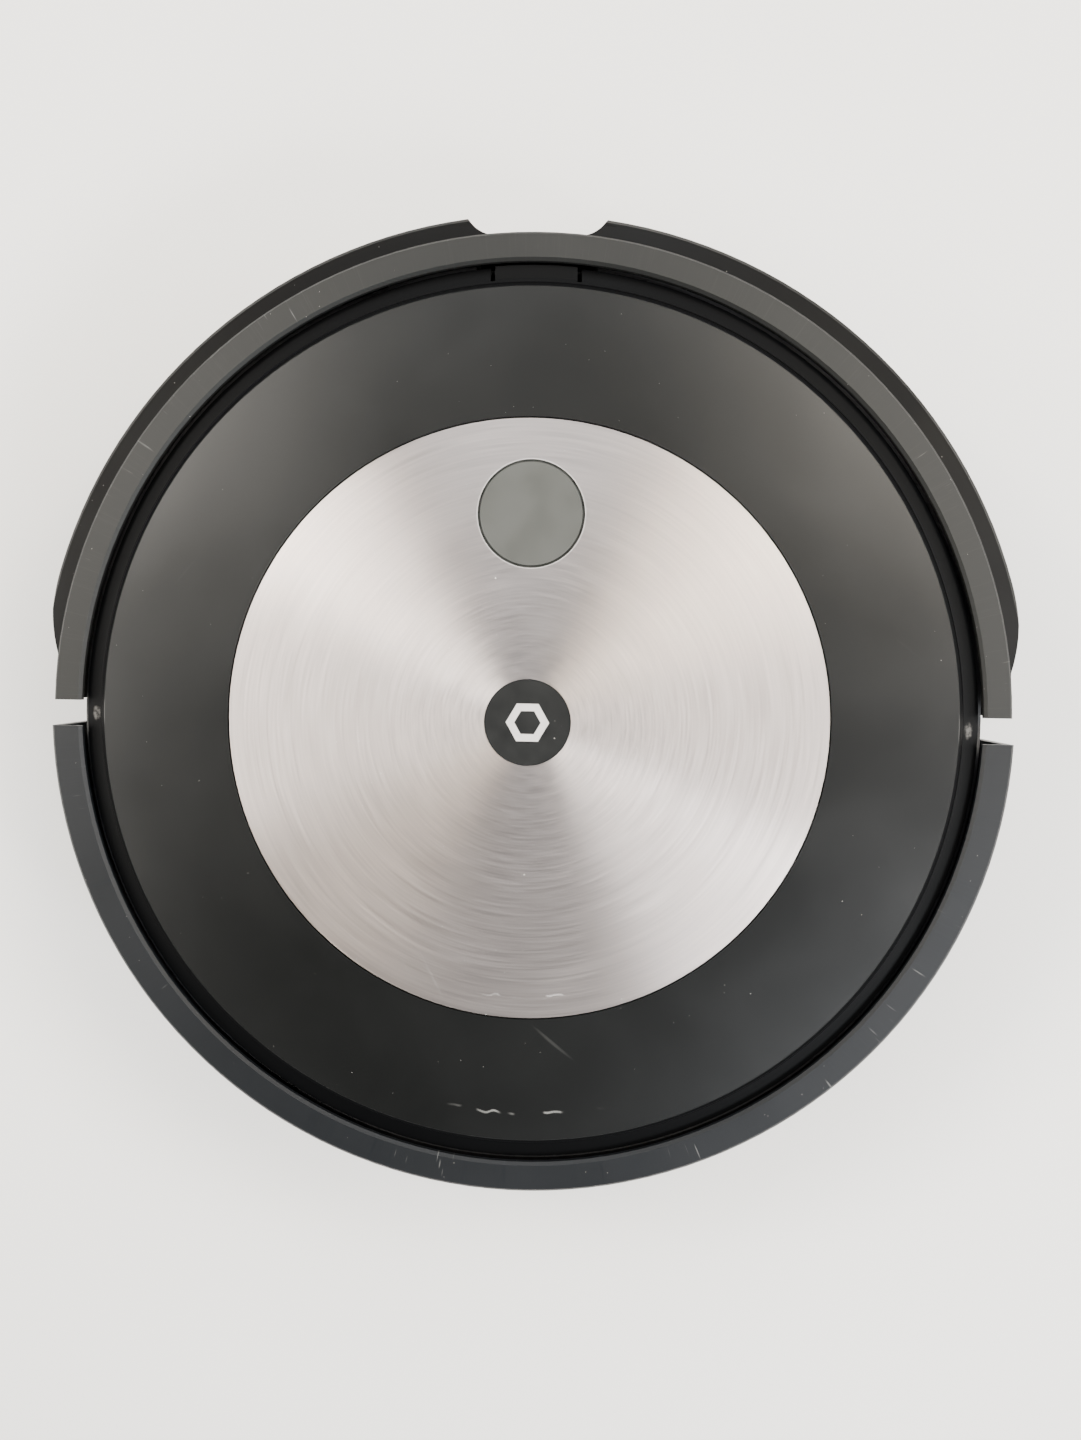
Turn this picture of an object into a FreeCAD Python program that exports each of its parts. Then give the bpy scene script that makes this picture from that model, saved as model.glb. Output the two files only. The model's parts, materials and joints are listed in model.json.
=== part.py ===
import FreeCAD, Part
import math
import os

# Robot vacuum cleaner: a round, two-wheeled floor robot with a sprung front
# bumper, a caster, a side brush, a pair of counter-rotating rubber rollers,
# a suction fan and a pull-out dust bin.
# Millimetres. +Z is up, the robot drives towards -Y, +X is its left side.
# The origin is on the floor, under the centre of the round body.

V = FreeCAD.Vector
ORIGIN = V(0, 0, 0)
ALONG_X = V(1, 0, 0)
ALONG_Y = V(0, 1, 0)
ALONG_Z = V(0, 0, 1)

# ---------------------------------------------------------------- overall
body_radius = 166.5        # outside of the rear shell
body_height = 87.0         # floor to the face of the metal disc
ground_gap = 10.0          # floor to the underside of the base
skirt_out = 7.5            # how far the bumper skirt stands out past the rear shell

# ------------------------------------------------------------- clearances
snug = 0.1                 # between pieces that are fixed to each other
play = 0.3                 # between pieces that slide or swing past each other
shaft_play = 0.05          # radial, between a shaft and its bearing
deep = 1.0                 # how far a cutting tool runs past the face it cuts

# ------------------------------------------------------------------ walls
base_thickness = 2.5
rim_thickness = 2.5
deck_thickness = 2.5
shell_wall = 3.0
skirt_wall = 2.7
skin = 2.0                 # thin mouldings: wheel housings, dust bin, cover
screw_radius = 1.5
screw_head_radius = 2.8
screw_head_height = 1.2
recess_half = 1.7           # cross recess in the heads underneath: half length of a slit
recess_slit = 0.4           # and half its width
recess_depth = 0.8

# ----------------------------------------------------------- top ring and cover
ring_drop = 3.5            # ring face below the metal disc
ring_thickness = 2.5
ring_width = 10.5
ring_bevel = 1.0
seam_gap = 9.0             # between the bumper half and the rear half of the ring
groove_width = 8.2         # ring to the upper edge of the cover
cover_rise = 3.0           # underside of the cover below the metal disc
disc_thickness = 1.0
disc_radius = 102.7
disc_gap = 0.6             # dark line around the disc
cap_radius = 14.7
button_radius = 17.4
button_gap = 0.15
light_ring_width = 0.6
button_y = -70.8
button_travel = 0.8
button_thickness = 2.0
front_lip_half = 14.0
front_lip_gap = 1.5

# ----------------------------------------------------------------- bumper
bumper_travel = 4.0
skirt_bottom = 13.0
notch_outer_half = 24.5    # camera notch at the face of the skirt
notch_inner_half = 15.5    # camera notch at the ring
notch_bottom = 50.0
notch_corner = 14.0
window_low = 30.0
window_high = 46.0
window_depth = 1.2
window_half_angle = 66.0
tongue_x = 60.0
tongue_half_width = 8.0
tongue_thickness = 3.0
tongue_end = 128.0         # distance of the tongue's end ahead of the centre
spring_length = 10.0
camera_half_width = 12.0
camera_bottom = 52.0
camera_play = 0.5          # lens to camera window with the bumper pressed
lens_radius = 6.0
lens_reach = 1.5
glass_setback = 2.0        # camera window behind the ring's outer face
glass_thickness = 2.5
glass_half = 20.0          # half width of the camera window

# ----------------------------------------------------------- drive wheels
wheel_radius = 36.0
wheel_rise = 1.5           # headroom over the tyre at rest
tyre_inner_x = 108.5
tyre_width = 18.0
tyre_thickness = 6.4
wheel_axle_radius = 3.0
arm_inner_x = 98.5
arm_outer_x = 106.5
arm_pivot_y = -42.0
arm_pivot_z = 46.0
arm_pivot_end = 13.0
arm_axle_end = 9.0
housing_inner_x = 95.0
housing_outer_x = 130.5
housing_front = -59.0
housing_rear = 42.0
nook_inner_x = 60.0
nook_rear = -25.0
nook_top = 62.5
drive_motor_radius = 12.5
drive_motor_length = 32.0
pivot_pin_radius = 2.5

# ------------------------------------------------------------------ caster
caster_y = -126.0
caster_socket_radius = 24.5
caster_socket_top = 44.0
caster_wheel_radius = 13.0
caster_wheel_half = 7.5
caster_trail = 6.5
caster_stem_radius = 3.0
caster_axle_radius = 1.5
cheek_thickness = 2.5

# -------------------------------------------------------------- side brush
side_brush_x = -92.0
side_brush_y = -100.0
side_motor_radius = 16.0
side_motor_top = 42.0
side_hub_radius = 10.0
side_shaft_radius = 3.0
bristle_reach = 54.0
bristle_half_width = 3.0

# ----------------------------------------------------------- cleaning head
head_half = 93.0
head_front = 1.5
head_rear = 85.1
roller_front_y = 23.9
roller_pitch = 38.8
roller_z = 21.5
roller_core_radius = 11.0
roller_skin_radius = 15.0
roller_fin_radius = 19.2
roller_fin_width = 2.6
roller_fins = 6
roller_left = 86.5
roller_right = -68.5
roller_room = 1.2          # around the fins
head_roof = 2.5
gear_teeth = 12
gear_backlash = 0.25
gear_right = -82.0
gear_left = -76.0
pressure_angle = math.radians(25.0)
roller_journal = 4.0
idler_journal = 2.0
drive_journal = 2.5
head_end_wall = 2.7
head_gear_wall = 2.5
throat_half = 38.0
throat_low = 28.0
throat_high = 42.0
frame_front = 4.0
frame_rear = 83.0
frame_thickness = 3.8
frame_hinge_y = 5.3
frame_hinge_z = 10.1
frame_pin_radius = 1.2
tab_right = -86.0
tab_left = -72.0
tab_front = 66.0
tab_rear = 74.0
tab_travel = 2.0
brush_motor_radius = 8.5
brush_motor_length = 31.5

# ---------------------------------------------------------- bin and suction
bin_half = 82.0
bin_front = 86.0
bin_top = 71.5
bay_wall = 1.9
bay_play = 0.5
port_left = 48.0
port_right = 8.0
port_front = 96.0
port_rear = 116.0
flap_thickness = 1.2
release_half = 15.0
release_low = 56.0
release_high = 66.0
release_travel = 2.5
fan_case_radius = 17.5
fan_wall = 1.5
fan_right = 84.4
fan_left = 102.0
fan_z = 46.0
fan_inlet_radius = 8.0
fan_shaft_radius = 1.4
fan_motor_radius = 8.0
fan_blades = 8

# --------------------------------------------------------- boards and power
battery_half = 48.0
battery_front = -90.0
battery_rear = -15.5
battery_top = 46.0
hatch_border = 8.0
hatch_thickness = 1.4
board_thickness = 1.6
main_board_half = 54.0
main_board_z = 60.0
button_board_half = 26.0
switch_height = 3.0
contact_right = 28.0
contact_left = 48.0
contact_front = -126.0
contact_rear = -117.0
contact_stand = 0.8        # how far a charging contact stands below the base
post_radius = 4.0
post_circle = 136.0

# ---------------------------------------------------------- derived heights
base_top = ground_gap + base_thickness
ring_top = body_height - ring_drop
ring_under = ring_top - ring_thickness
ring_foot = ring_under - 2.0
deck_top = ring_under - 6.5
deck_under = deck_top - deck_thickness
cover_under = body_height - cover_rise
disc_seat = body_height - disc_thickness
housing_top = 2 * wheel_radius + wheel_rise + skin
head_under = base_top + play

# ------------------------------------------------------------ derived radii
chassis_radius = body_radius - 8.5
ring_outer = body_radius - ring_bevel
ring_inner = body_radius - ring_width
skirt_radius = body_radius + skirt_out
skirt_inner = skirt_radius - skirt_wall
cover_radius = ring_inner - groove_width
brim_radius = ring_inner - 0.7
glass_outer = ring_outer - glass_setback
glass_inner = glass_outer - glass_thickness
camera_front = glass_inner - bumper_travel - camera_play - lens_reach
roller_rear_y = roller_front_y + roller_pitch
roller_cavity = roller_fin_radius + roller_room
gear_pitch_radius = roller_pitch / 6
gear_module = 2 * gear_pitch_radius / gear_teeth


# ================================================================== helpers
def block(x0, x1, y0, y1, z0, z1):
    """A box between two opposite corners."""
    return Part.makeBox(x1 - x0, y1 - y0, z1 - z0, V(x0, y0, z0))


def rod_x(radius, x0, x1, y, z):
    """A round bar along X."""
    return Part.makeCylinder(radius, x1 - x0, V(x0, y, z), ALONG_X)


def rod_y(radius, y0, y1, x, z):
    """A round bar along Y."""
    return Part.makeCylinder(radius, y1 - y0, V(x, y0, z), ALONG_Y)


def rod_z(radius, z0, z1, x=0.0, y=0.0):
    """A round bar along Z."""
    return Part.makeCylinder(radius, z1 - z0, V(x, y, z0), ALONG_Z)


def tube_z(outer, inner, z0, z1, x=0.0, y=0.0):
    """A round tube along Z."""
    return rod_z(outer, z0, z1, x, y).cut(rod_z(inner, z0 - deep, z1 + deep, x, y))


def filled(points):
    """A flat face inside a closed run of points."""
    return Part.Face(Part.makePolygon(points + points[:1]))


def spun(outline):
    """A solid turned about Z from a closed (radius, height) outline."""
    return filled([V(r, 0, z) for r, z in outline]).revolve(ORIGIN, ALONG_Z, 360)


def spun_x(outline, y, z):
    """A solid turned about an axis along X through (y, z), from (radius, x) points."""
    face = filled([V(x, y, z + r) for r, x in outline])
    return face.revolve(V(0, y, z), ALONG_X, 360)


def turned(shape, degrees, centre=ORIGIN, axis=ALONG_Z):
    """A copy of the shape, turned about an axis."""
    copy = shape.copy()
    copy.rotate(centre, axis, degrees)
    return copy


def mirrored(shape):
    """The same shape on the robot's other side."""
    return shape.mirror(ORIGIN, ALONG_X)


def joined(shapes):
    """One solid from shapes that overlap or share a face."""
    whole = shapes[0]
    if len(shapes) > 1:
        whole = shapes[0].multiFuse(shapes[1:])
    return whole.removeSplitter()


def cut_by(shape, tools):
    """The shape with each tool cut out of it."""
    return shape.cut(tools)


def wedge(half_angle, z0, z1, reach=2 * body_radius):
    """A sector about the -Y direction, as a prism."""
    steps = 8
    points = [V(0, 0, z0)]
    for k in range(steps + 1):
        a = math.radians(half_angle * (2.0 * k / steps - 1.0))
        points.append(V(reach * math.sin(a), -reach * math.cos(a), z0))
    return filled(points).extrude(V(0, 0, z1 - z0))


def behind(y):
    """Everything on the rear side of a plane."""
    far = 2 * body_radius
    return block(-far, far, y, far, -far, far)


def ahead_of(y):
    """Everything on the front side of a plane."""
    far = 2 * body_radius
    return block(-far, far, -far, y, -far, far)


def corrugated(radius, length, turns):
    """A close-wound spring, as one turned solid along Z from 0 to its length."""
    outer = []
    inner = []
    wire = 0.3 * radius
    for k in range(2 * turns + 1):
        z = length * k / (2.0 * turns)
        dip = 0.5 * wire * (k % 2)
        outer.append((radius - dip, z))
        inner.append((radius - wire - dip, z))
    return spun(outer + inner[::-1])


def save(node, *shapes):
    """Write one node's solids to its STEP file."""
    solids = []
    for shape in shapes:
        solids.extend(shape.Solids)
    whole = solids[0]
    if len(solids) > 1:
        whole = Part.makeCompound(solids)
    whole.exportStep("parts/%s.step" % node)
    volume = sum(solid.Volume for solid in solids) / 1000.0
    print("%-22s %2d solid(s) %8.2f cm3 valid %s" % (node, len(solids), volume, whole.isValid()))


# ============================================================ shared outlines
def bumper_plan(inset, z0, z1):
    """The bumper seen from above, moved inwards by inset, as a prism."""
    seam = -seam_gap / 2
    nose = skirt_radius - inset
    heel = body_radius - 0.4 - inset
    heel_y = -20.0
    turn = math.radians(17.0)
    start = V(nose * math.cos(turn), -nose * math.sin(turn), z0)
    end = V(heel, heel_y, z0)
    normal = V(-math.cos(turn), math.sin(turn), 0)
    chord = end.sub(start)
    radius = chord.dot(chord) / (2 * normal.dot(chord))
    centre = start.add(V(normal.x * radius, normal.y * radius, 0))
    bulge = start.add(end).multiply(0.5).sub(centre)
    bulge.multiply(radius / bulge.Length)
    middle = centre.add(bulge)

    def other(point):
        return V(-point.x, point.y, point.z)

    edges = [
        Part.makeLine(V(-heel, seam, z0), V(heel, seam, z0)),
        Part.makeLine(V(heel, seam, z0), end),
        Part.Arc(end, middle, start).toShape(),
        Part.Arc(start, V(0, -nose, z0), other(start)).toShape(),
        Part.Arc(other(start), other(middle), other(end)).toShape(),
        Part.makeLine(other(end), V(-heel, seam, z0)),
    ]
    return Part.Face(Part.Wire(edges)).extrude(V(0, 0, z1 - z0))


def notch_tool():
    """The camera notch in the front of the skirt, open at the top and the front."""
    y_face = -(skirt_radius - 0.5)
    y_bend = -(skirt_radius - 5.7)
    y_ring = -(ring_outer + 0.3)
    y_back = -(ring_inner + 4.0)
    y_out = -(skirt_radius + 2 * deep)
    bend = notch_inner_half + 0.6 * (notch_outer_half - notch_inner_half)
    low = notch_bottom - 5 * deep
    high = ring_foot
    edges = [
        Part.makeLine(V(-notch_outer_half, y_out, low), V(notch_outer_half, y_out, low)),
        Part.makeLine(V(notch_outer_half, y_out, low), V(notch_outer_half, y_face, low)),
        Part.Arc(
            V(notch_outer_half, y_face, low), V(bend, y_bend, low), V(notch_inner_half, y_ring, low)
        ).toShape(),
        Part.makeLine(V(notch_inner_half, y_ring, low), V(notch_inner_half, y_back, low)),
        Part.makeLine(V(notch_inner_half, y_back, low), V(-notch_inner_half, y_back, low)),
        Part.makeLine(V(-notch_inner_half, y_back, low), V(-notch_inner_half, y_ring, low)),
        Part.Arc(
            V(-notch_inner_half, y_ring, low), V(-bend, y_bend, low), V(-notch_outer_half, y_face, low)
        ).toShape(),
        Part.makeLine(V(-notch_outer_half, y_face, low), V(-notch_outer_half, y_out, low)),
    ]
    plan = Part.Face(Part.Wire(edges)).extrude(V(0, 0, high - low))
    front = block(
        -notch_outer_half, notch_outer_half, y_out, y_back, notch_bottom, high + 2 * notch_corner
    )
    lower = [e for e in front.Edges if abs(e.CenterOfMass.z - notch_bottom) < deep / 2
             and abs(abs(e.CenterOfMass.x) - notch_outer_half) < deep / 2]
    return plan.common(front.makeFillet(notch_corner, lower))


def shell_outline():
    """The outside of the body, from the base up, as (radius, height) points."""
    return [(chassis_radius + snug, ground_gap), (body_radius, 2 * ground_gap)]


def bin_envelope(inset):
    """The body's outside moved inwards, which the dust bin's rear follows."""
    foot = chassis_radius + snug - inset
    side = body_radius - inset
    lower = [(0, 0), (foot, 0), (foot, ground_gap)]
    return spun(lower + [(side, 2 * ground_gap), (side, ring_top), (0, ring_top)])


def gear(x0, x1, y, z, phase):
    """A spur gear along X with involute flanks."""
    base = gear_pitch_radius * math.cos(pressure_angle)
    tip = gear_pitch_radius + 0.9 * gear_module
    root = gear_pitch_radius - 1.2 * gear_module
    half_tooth = math.pi / (2 * gear_teeth) - gear_backlash / (2 * gear_pitch_radius)
    at_pitch = math.tan(pressure_angle) - pressure_angle
    steps = 4
    flank = []
    for k in range(steps + 1):
        radius = base + (tip - base) * k / steps
        angle = math.acos(base / radius)
        flank.append((radius, half_tooth + at_pitch - (math.tan(angle) - angle)))
    flank.insert(0, (root, flank[0][1]))
    points = []
    for tooth in range(gear_teeth):
        middle = math.radians(phase) + 2 * math.pi * tooth / gear_teeth
        around = [(r, middle - a) for r, a in flank] + [(r, middle + a) for r, a in flank[::-1]]
        points.extend(V(x0, y + r * math.cos(a), z + r * math.sin(a)) for r, a in around)
    return filled(points).extrude(V(x1 - x0, 0, 0))


def post_places():
    """Where the four posts stand that carry the deck."""
    places = []
    for degrees in (-30.0, 36.0):
        x = post_circle * math.cos(math.radians(degrees))
        y = post_circle * math.sin(math.radians(degrees))
        places.extend([(x, y), (-x, y)])
    return places


def hatch_screw_places():
    """Where the four screws of the battery hatch go."""
    x = battery_half + snug + 6.0
    return [(sx * x, y) for y in (battery_front - 4.0, battery_rear + 3.5) for sx in (1, -1)]


def housing_outside(grow, z0, top_main, top_nook):
    """The two boxes of a left wheel housing, grown all round by a clearance."""
    front = housing_front - grow
    main = block(
        housing_inner_x - grow, housing_outer_x + grow, front, housing_rear + grow, z0, top_main
    )
    nook = block(nook_inner_x - grow, housing_inner_x + skin, front, nook_rear + grow, z0, top_nook)
    return joined([main, nook])


# =================================================================== chassis
def make_chassis():
    """The moulded base: floor, rim, dust bin bay and the posts under the deck."""
    floor = rod_z(chassis_radius, ground_gap, base_top)
    rim = tube_z(chassis_radius, chassis_radius - rim_thickness, base_top - snug, deck_under)
    bay_inner = bin_half + bay_play
    bay_outer = bay_inner + bay_wall
    walls = block(bay_inner, bay_outer, bin_front, chassis_radius, base_top - snug, deck_under)
    walls = walls.common(rod_z(chassis_radius, base_top - snug, deck_under))
    posts = [rod_z(post_radius, base_top - snug, deck_under, x, y) for x, y in post_places()]
    bosses = [rod_z(3.5, base_top - snug, base_top + 6, x, y) for x, y in hatch_screw_places()]
    whole = joined([floor, rim, walls, mirrored(walls)] + posts + bosses)
    cells = housing_outside(snug, ground_gap - deep, base_top + deep, base_top + deep)
    fan_y = fan_centre_y()
    tools = [
        cells,
        mirrored(cells),
        block(-head_half - snug, head_half + snug, head_front - snug, head_rear + snug, 0, base_top + deep),
        block(
            -battery_half - 2, battery_half + 2, battery_front - 2, battery_rear + 2, 0, base_top + deep
        ),
        rod_z(caster_socket_radius + snug, 0, base_top + deep, 0, caster_y),
        rod_z(side_shaft_radius + 1, 0, base_top + deep, side_brush_x, side_brush_y),
        block(port_right, port_left, port_front, port_rear, 0, base_top + deep),
        block(-bay_inner, bay_inner, bin_front, 2 * body_radius, base_top, deck_under + deep),
        camera_opening(-camera_front + 5 * deep, camera_bottom - 4, deck_under + deep),
        rod_x(fan_inlet_radius, bay_inner - deep, bay_outer + deep, fan_y, fan_z),
    ]
    pocket = block(
        contact_right - snug, contact_left + snug, contact_front - snug, contact_rear + snug,
        0, ground_gap + 1 + snug
    )
    slot = block(
        tongue_x - tongue_half_width - bay_play, tongue_x + tongue_half_width + bay_play,
        -2 * body_radius, -tongue_end, tongue_low() - bay_play, deck_under + deep
    )
    tools.extend([pocket, mirrored(pocket), slot, mirrored(slot)])
    tools.extend(cliff_blocks(snug, ground_gap - deep, base_top + deep))
    for x, y in hatch_screw_places():
        tools.append(rod_z(screw_radius + shaft_play, 0, base_top + 5, x, y))
    for x, y in post_places():
        tools.append(rod_z(screw_radius + shaft_play, deck_under - 7, deck_under + deep, x, y))
    save("chassis", cut_by(whole, tools))


def camera_opening(rear, z0, z1):
    """The gap in front of the camera that the pressed-in camera window moves into."""
    half = glass_half + deep
    return block(-half, half, -2 * body_radius, rear, z0, z1)


def cliff_blocks(grow, z0, z1):
    """The four cliff sensor windows, or the holes for them."""
    half = 8.0
    inner = chassis_radius - 13.0
    outer = chassis_radius - 6.0
    window = block(-half - grow, half + grow, -outer - grow, -inner + grow, z0, z1)
    return [turned(window, degrees) for degrees in (-50, -16, 16, 50)]


def make_deck():
    """The flat deck on the rim and posts, with the boards' standoffs and room for the camera window."""
    plate = rod_z(chassis_radius, deck_under, deck_top)
    cells = block(
        housing_inner_x - snug, housing_outer_x + snug, housing_front - snug, housing_rear + snug,
        deck_under - deep, deck_top + deep
    )
    board_top = main_board_z + board_thickness
    hangers = [
        rod_z(3, board_top, deck_under + snug, sx * (main_board_half - 4), y)
        for sx in (-1, 1) for y in (battery_front - 16, battery_rear + 1.5)
    ]
    stands = [
        rod_z(2.5, deck_top - snug, button_board_z(), sx * (button_board_half - 4), button_y + dy)
        for sx in (-1, 1) for dy in (-21, 21)
    ]
    whole = joined([plate] + hangers + stands)
    front = camera_opening(-camera_front - play, deck_under - deep, deck_top + deep)
    tools = [cells, mirrored(cells), front]
    for x, y in post_places():
        tools.append(rod_z(screw_radius + snug, deck_under - deep, deck_top + deep, x, y))
    save("top_deck", cut_by(whole, tools))


def make_rear_shell():
    """The rear half of the outside: side wall and the rear half of the ring."""
    wall = body_radius - shell_wall
    outline = shell_outline() + [
        (body_radius, ring_top - ring_bevel),
        (ring_outer, ring_top),
        (ring_inner + ring_bevel, ring_top),
        (ring_inner, ring_top - ring_bevel),
        (ring_inner, ring_under),
        (wall, ring_under),
        (wall, 2 * ground_gap + 0.5),
        (chassis_radius + snug, ground_gap + 4.5),
    ]
    half = spun(outline).common(behind(seam_gap / 2))
    bay = bin_half + bay_play
    tools = [block(-bay, bay, 0, 2 * body_radius, 0, deck_under)]
    slot = block(wall - 4 * deep, body_radius + deep, -1.5, 1.5, 3 * ground_gap, 6 * ground_gap)
    tools.extend(turned(slot, degrees) for degrees in range(22, 43, 3))
    save("rear_shell", cut_by(half, tools))


def make_bottom_pieces():
    """Battery hatch, charging contacts, cliff windows and the screws."""
    x = battery_half + 2
    plate = block(
        -x - hatch_border, x + hatch_border, battery_front - hatch_border, battery_rear + hatch_border,
        ground_gap - hatch_thickness, ground_gap
    )
    uprights = [e for e in plate.Edges if abs(e.Vertexes[0].Z - e.Vertexes[-1].Z) > deep]
    plate = plate.makeFillet(8, uprights)
    plug = block(
        -x + snug, x - snug, battery_front - 2 + snug, battery_rear + 2 - snug, ground_gap, base_top
    )
    hatch = joined([plate, plug])
    holes = [rod_z(screw_radius + snug, 0, base_top + deep, hx, hy) for hx, hy in hatch_screw_places()]
    save("bottom_cover", cut_by(hatch, holes))
    contact = block(
        contact_right, contact_left, contact_front, contact_rear, ground_gap - contact_stand, ground_gap + 1
    )
    save("charging_contacts", contact, mirrored(contact))
    save("cliff_windows", *cliff_blocks(0, ground_gap, base_top))
    screws = []
    for hx, hy in hatch_screw_places():
        low = ground_gap - hatch_thickness
        face = low - screw_head_height
        floor = face + recess_depth
        recess = joined([
            block(hx - recess_half, hx + recess_half, hy - recess_slit, hy + recess_slit, 0, floor),
            block(hx - recess_slit, hx + recess_slit, hy - recess_half, hy + recess_half, 0, floor),
        ])
        head = rod_z(screw_head_radius, face, low, hx, hy).cut(recess)
        screws.append(joined([head, rod_z(screw_radius, low - snug, base_top + 4, hx, hy)]))
    for hx, hy in post_places():
        head = rod_z(screw_head_radius, deck_top, deck_top + screw_head_height, hx, hy)
        screws.append(joined([head, rod_z(screw_radius, deck_under - 6, deck_top + snug, hx, hy)]))
    save("case_screws", *screws)


# ============================================================= top of the body
def make_top_cover():
    """The cover: a shallow dish for the disc, a side wall and a sloping brim."""
    seat_radius = disc_radius + disc_gap
    wall_top = ring_under + 0.2
    outline = [
        (0, cover_under),
        (0, disc_seat),
        (seat_radius, disc_seat),
        (seat_radius, body_height - 0.1),
        (cover_radius - 1.5, body_height - 0.7),
        (cover_radius, cover_under + 1.0),
        (cover_radius + 1.8, wall_top),
        (brim_radius, wall_top - 2.0),
        (brim_radius, wall_top - 3.3),
        (cover_radius - 0.8, wall_top - 1.8),
        (cover_radius - 1.5, deck_top),
        (cover_radius - 1.5 - rim_thickness, deck_top),
        (cover_radius - 1.5 - rim_thickness, cover_under),
    ]
    dish = spun(outline)
    brim_low = wall_top - 3.3
    lip = tube_z(brim_radius, cover_radius, brim_low, ring_under - play)
    lip_span = block(-front_lip_half, front_lip_half, -2 * body_radius, 0, brim_low, ring_under)
    reach = cover_radius + 1.8
    gaps = [
        block(x, x + front_lip_gap, -2 * body_radius, -reach, brim_low - deep, wall_top)
        for x in (-front_lip_half - front_lip_gap, front_lip_half)
    ]
    whole = joined([dish, lip.common(lip_span)])
    hole = rod_z(button_well_radius(), cover_under - deep, body_height + deep, 0, button_y)
    save("top_cover", cut_by(whole, gaps + [hole]))


def button_well_radius():
    """Radius of the hole for the button and its light ring."""
    return button_radius + button_gap + light_ring_width + snug


def button_board_z():
    """Underside of the button board."""
    stack = button_thickness + 1.2 + button_travel + play + switch_height + board_thickness
    return body_height - snug - stack


def make_disc_and_button():
    """The metal disc, its centre cap, the clean button and its light ring."""
    disc = rod_z(disc_radius, disc_seat, body_height)
    holes = [
        rod_z(cap_radius + 2 * snug, disc_seat - deep, body_height + deep),
        rod_z(button_well_radius(), disc_seat - deep, body_height + deep, 0, button_y),
    ]
    save("cover_disc", cut_by(disc, holes))
    cap = rod_z(cap_radius, disc_seat, body_height)
    hexagon = [
        V(r * math.cos(a), r * math.sin(a), body_height - 0.2)
        for r in (0.5 * cap_radius,) for a in [math.radians(60 * k + 30) for k in range(6)]
    ]
    inner = [V(0.82 * p.x, 0.82 * p.y, p.z) for p in hexagon]
    mark = filled(hexagon).cut(filled(inner)).extrude(V(0, 0, deep))
    save("centre_cap", cap.cut(mark))
    inner_radius = button_radius + button_gap
    board_top = button_board_z() + board_thickness
    light = tube_z(
        inner_radius + light_ring_width, inner_radius, board_top, body_height - 0.5, 0, button_y
    )
    save("light_ring", light)
    face_top = body_height - snug
    face = rod_z(button_radius, face_top - button_thickness, face_top, 0, button_y)
    stem = rod_z(4, face_top - button_thickness - 1.2, face_top - button_thickness + snug, 0, button_y)
    save("clean_button", joined([face, stem]))
    board = block(
        -button_board_half, button_board_half, button_y - 25, button_y + 25, button_board_z(), board_top
    )
    switch = block(-3, 3, button_y - 3, button_y + 3, board_top - snug, board_top + switch_height)
    save("button_board", joined([board, switch]))


def make_boards_and_battery():
    """Main board under the deck and the battery on its hatch."""
    board = block(
        -main_board_half, main_board_half, battery_front - 20, battery_rear + 5.5,
        main_board_z, main_board_z + board_thickness
    )
    chips = [
        block(-20, 4, -70, -46, main_board_z + board_thickness - snug, main_board_z + 3.5),
        block(14, 30, -88, -66, main_board_z + board_thickness - snug, main_board_z + 4.5),
        block(-38, -26, -40, -22, main_board_z + board_thickness - snug, main_board_z + 6.5),
    ]
    save("main_board", joined([board] + chips))
    pack = block(-battery_half, battery_half, battery_front, battery_rear, base_top + snug, battery_top)
    save("battery_pack", pack.makeFillet(3, pack.Edges))
    face = camera_front
    box = block(-camera_half_width, camera_half_width, -face, -face + 20, camera_bottom, deck_under)
    lens = rod_y(lens_radius, -face - lens_reach, -face + snug, 0, camera_bottom + 8)
    save("camera_module", joined([box, lens]))


# ==================================================================== bumper
def tongue_low():
    """Underside of the bumper's two sliding tongues."""
    return deck_under - play - tongue_thickness


def window_groove(grow):
    """The band of the skirt that the long dark window fills."""
    band = tube_z(
        skirt_radius + (deep if grow else 0), skirt_radius - window_depth + (0 if grow else snug),
        window_low - grow, window_high + grow
    )
    return band.common(wedge(window_half_angle + 2 * grow / 3, window_low - deep, window_high + deep))


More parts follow.
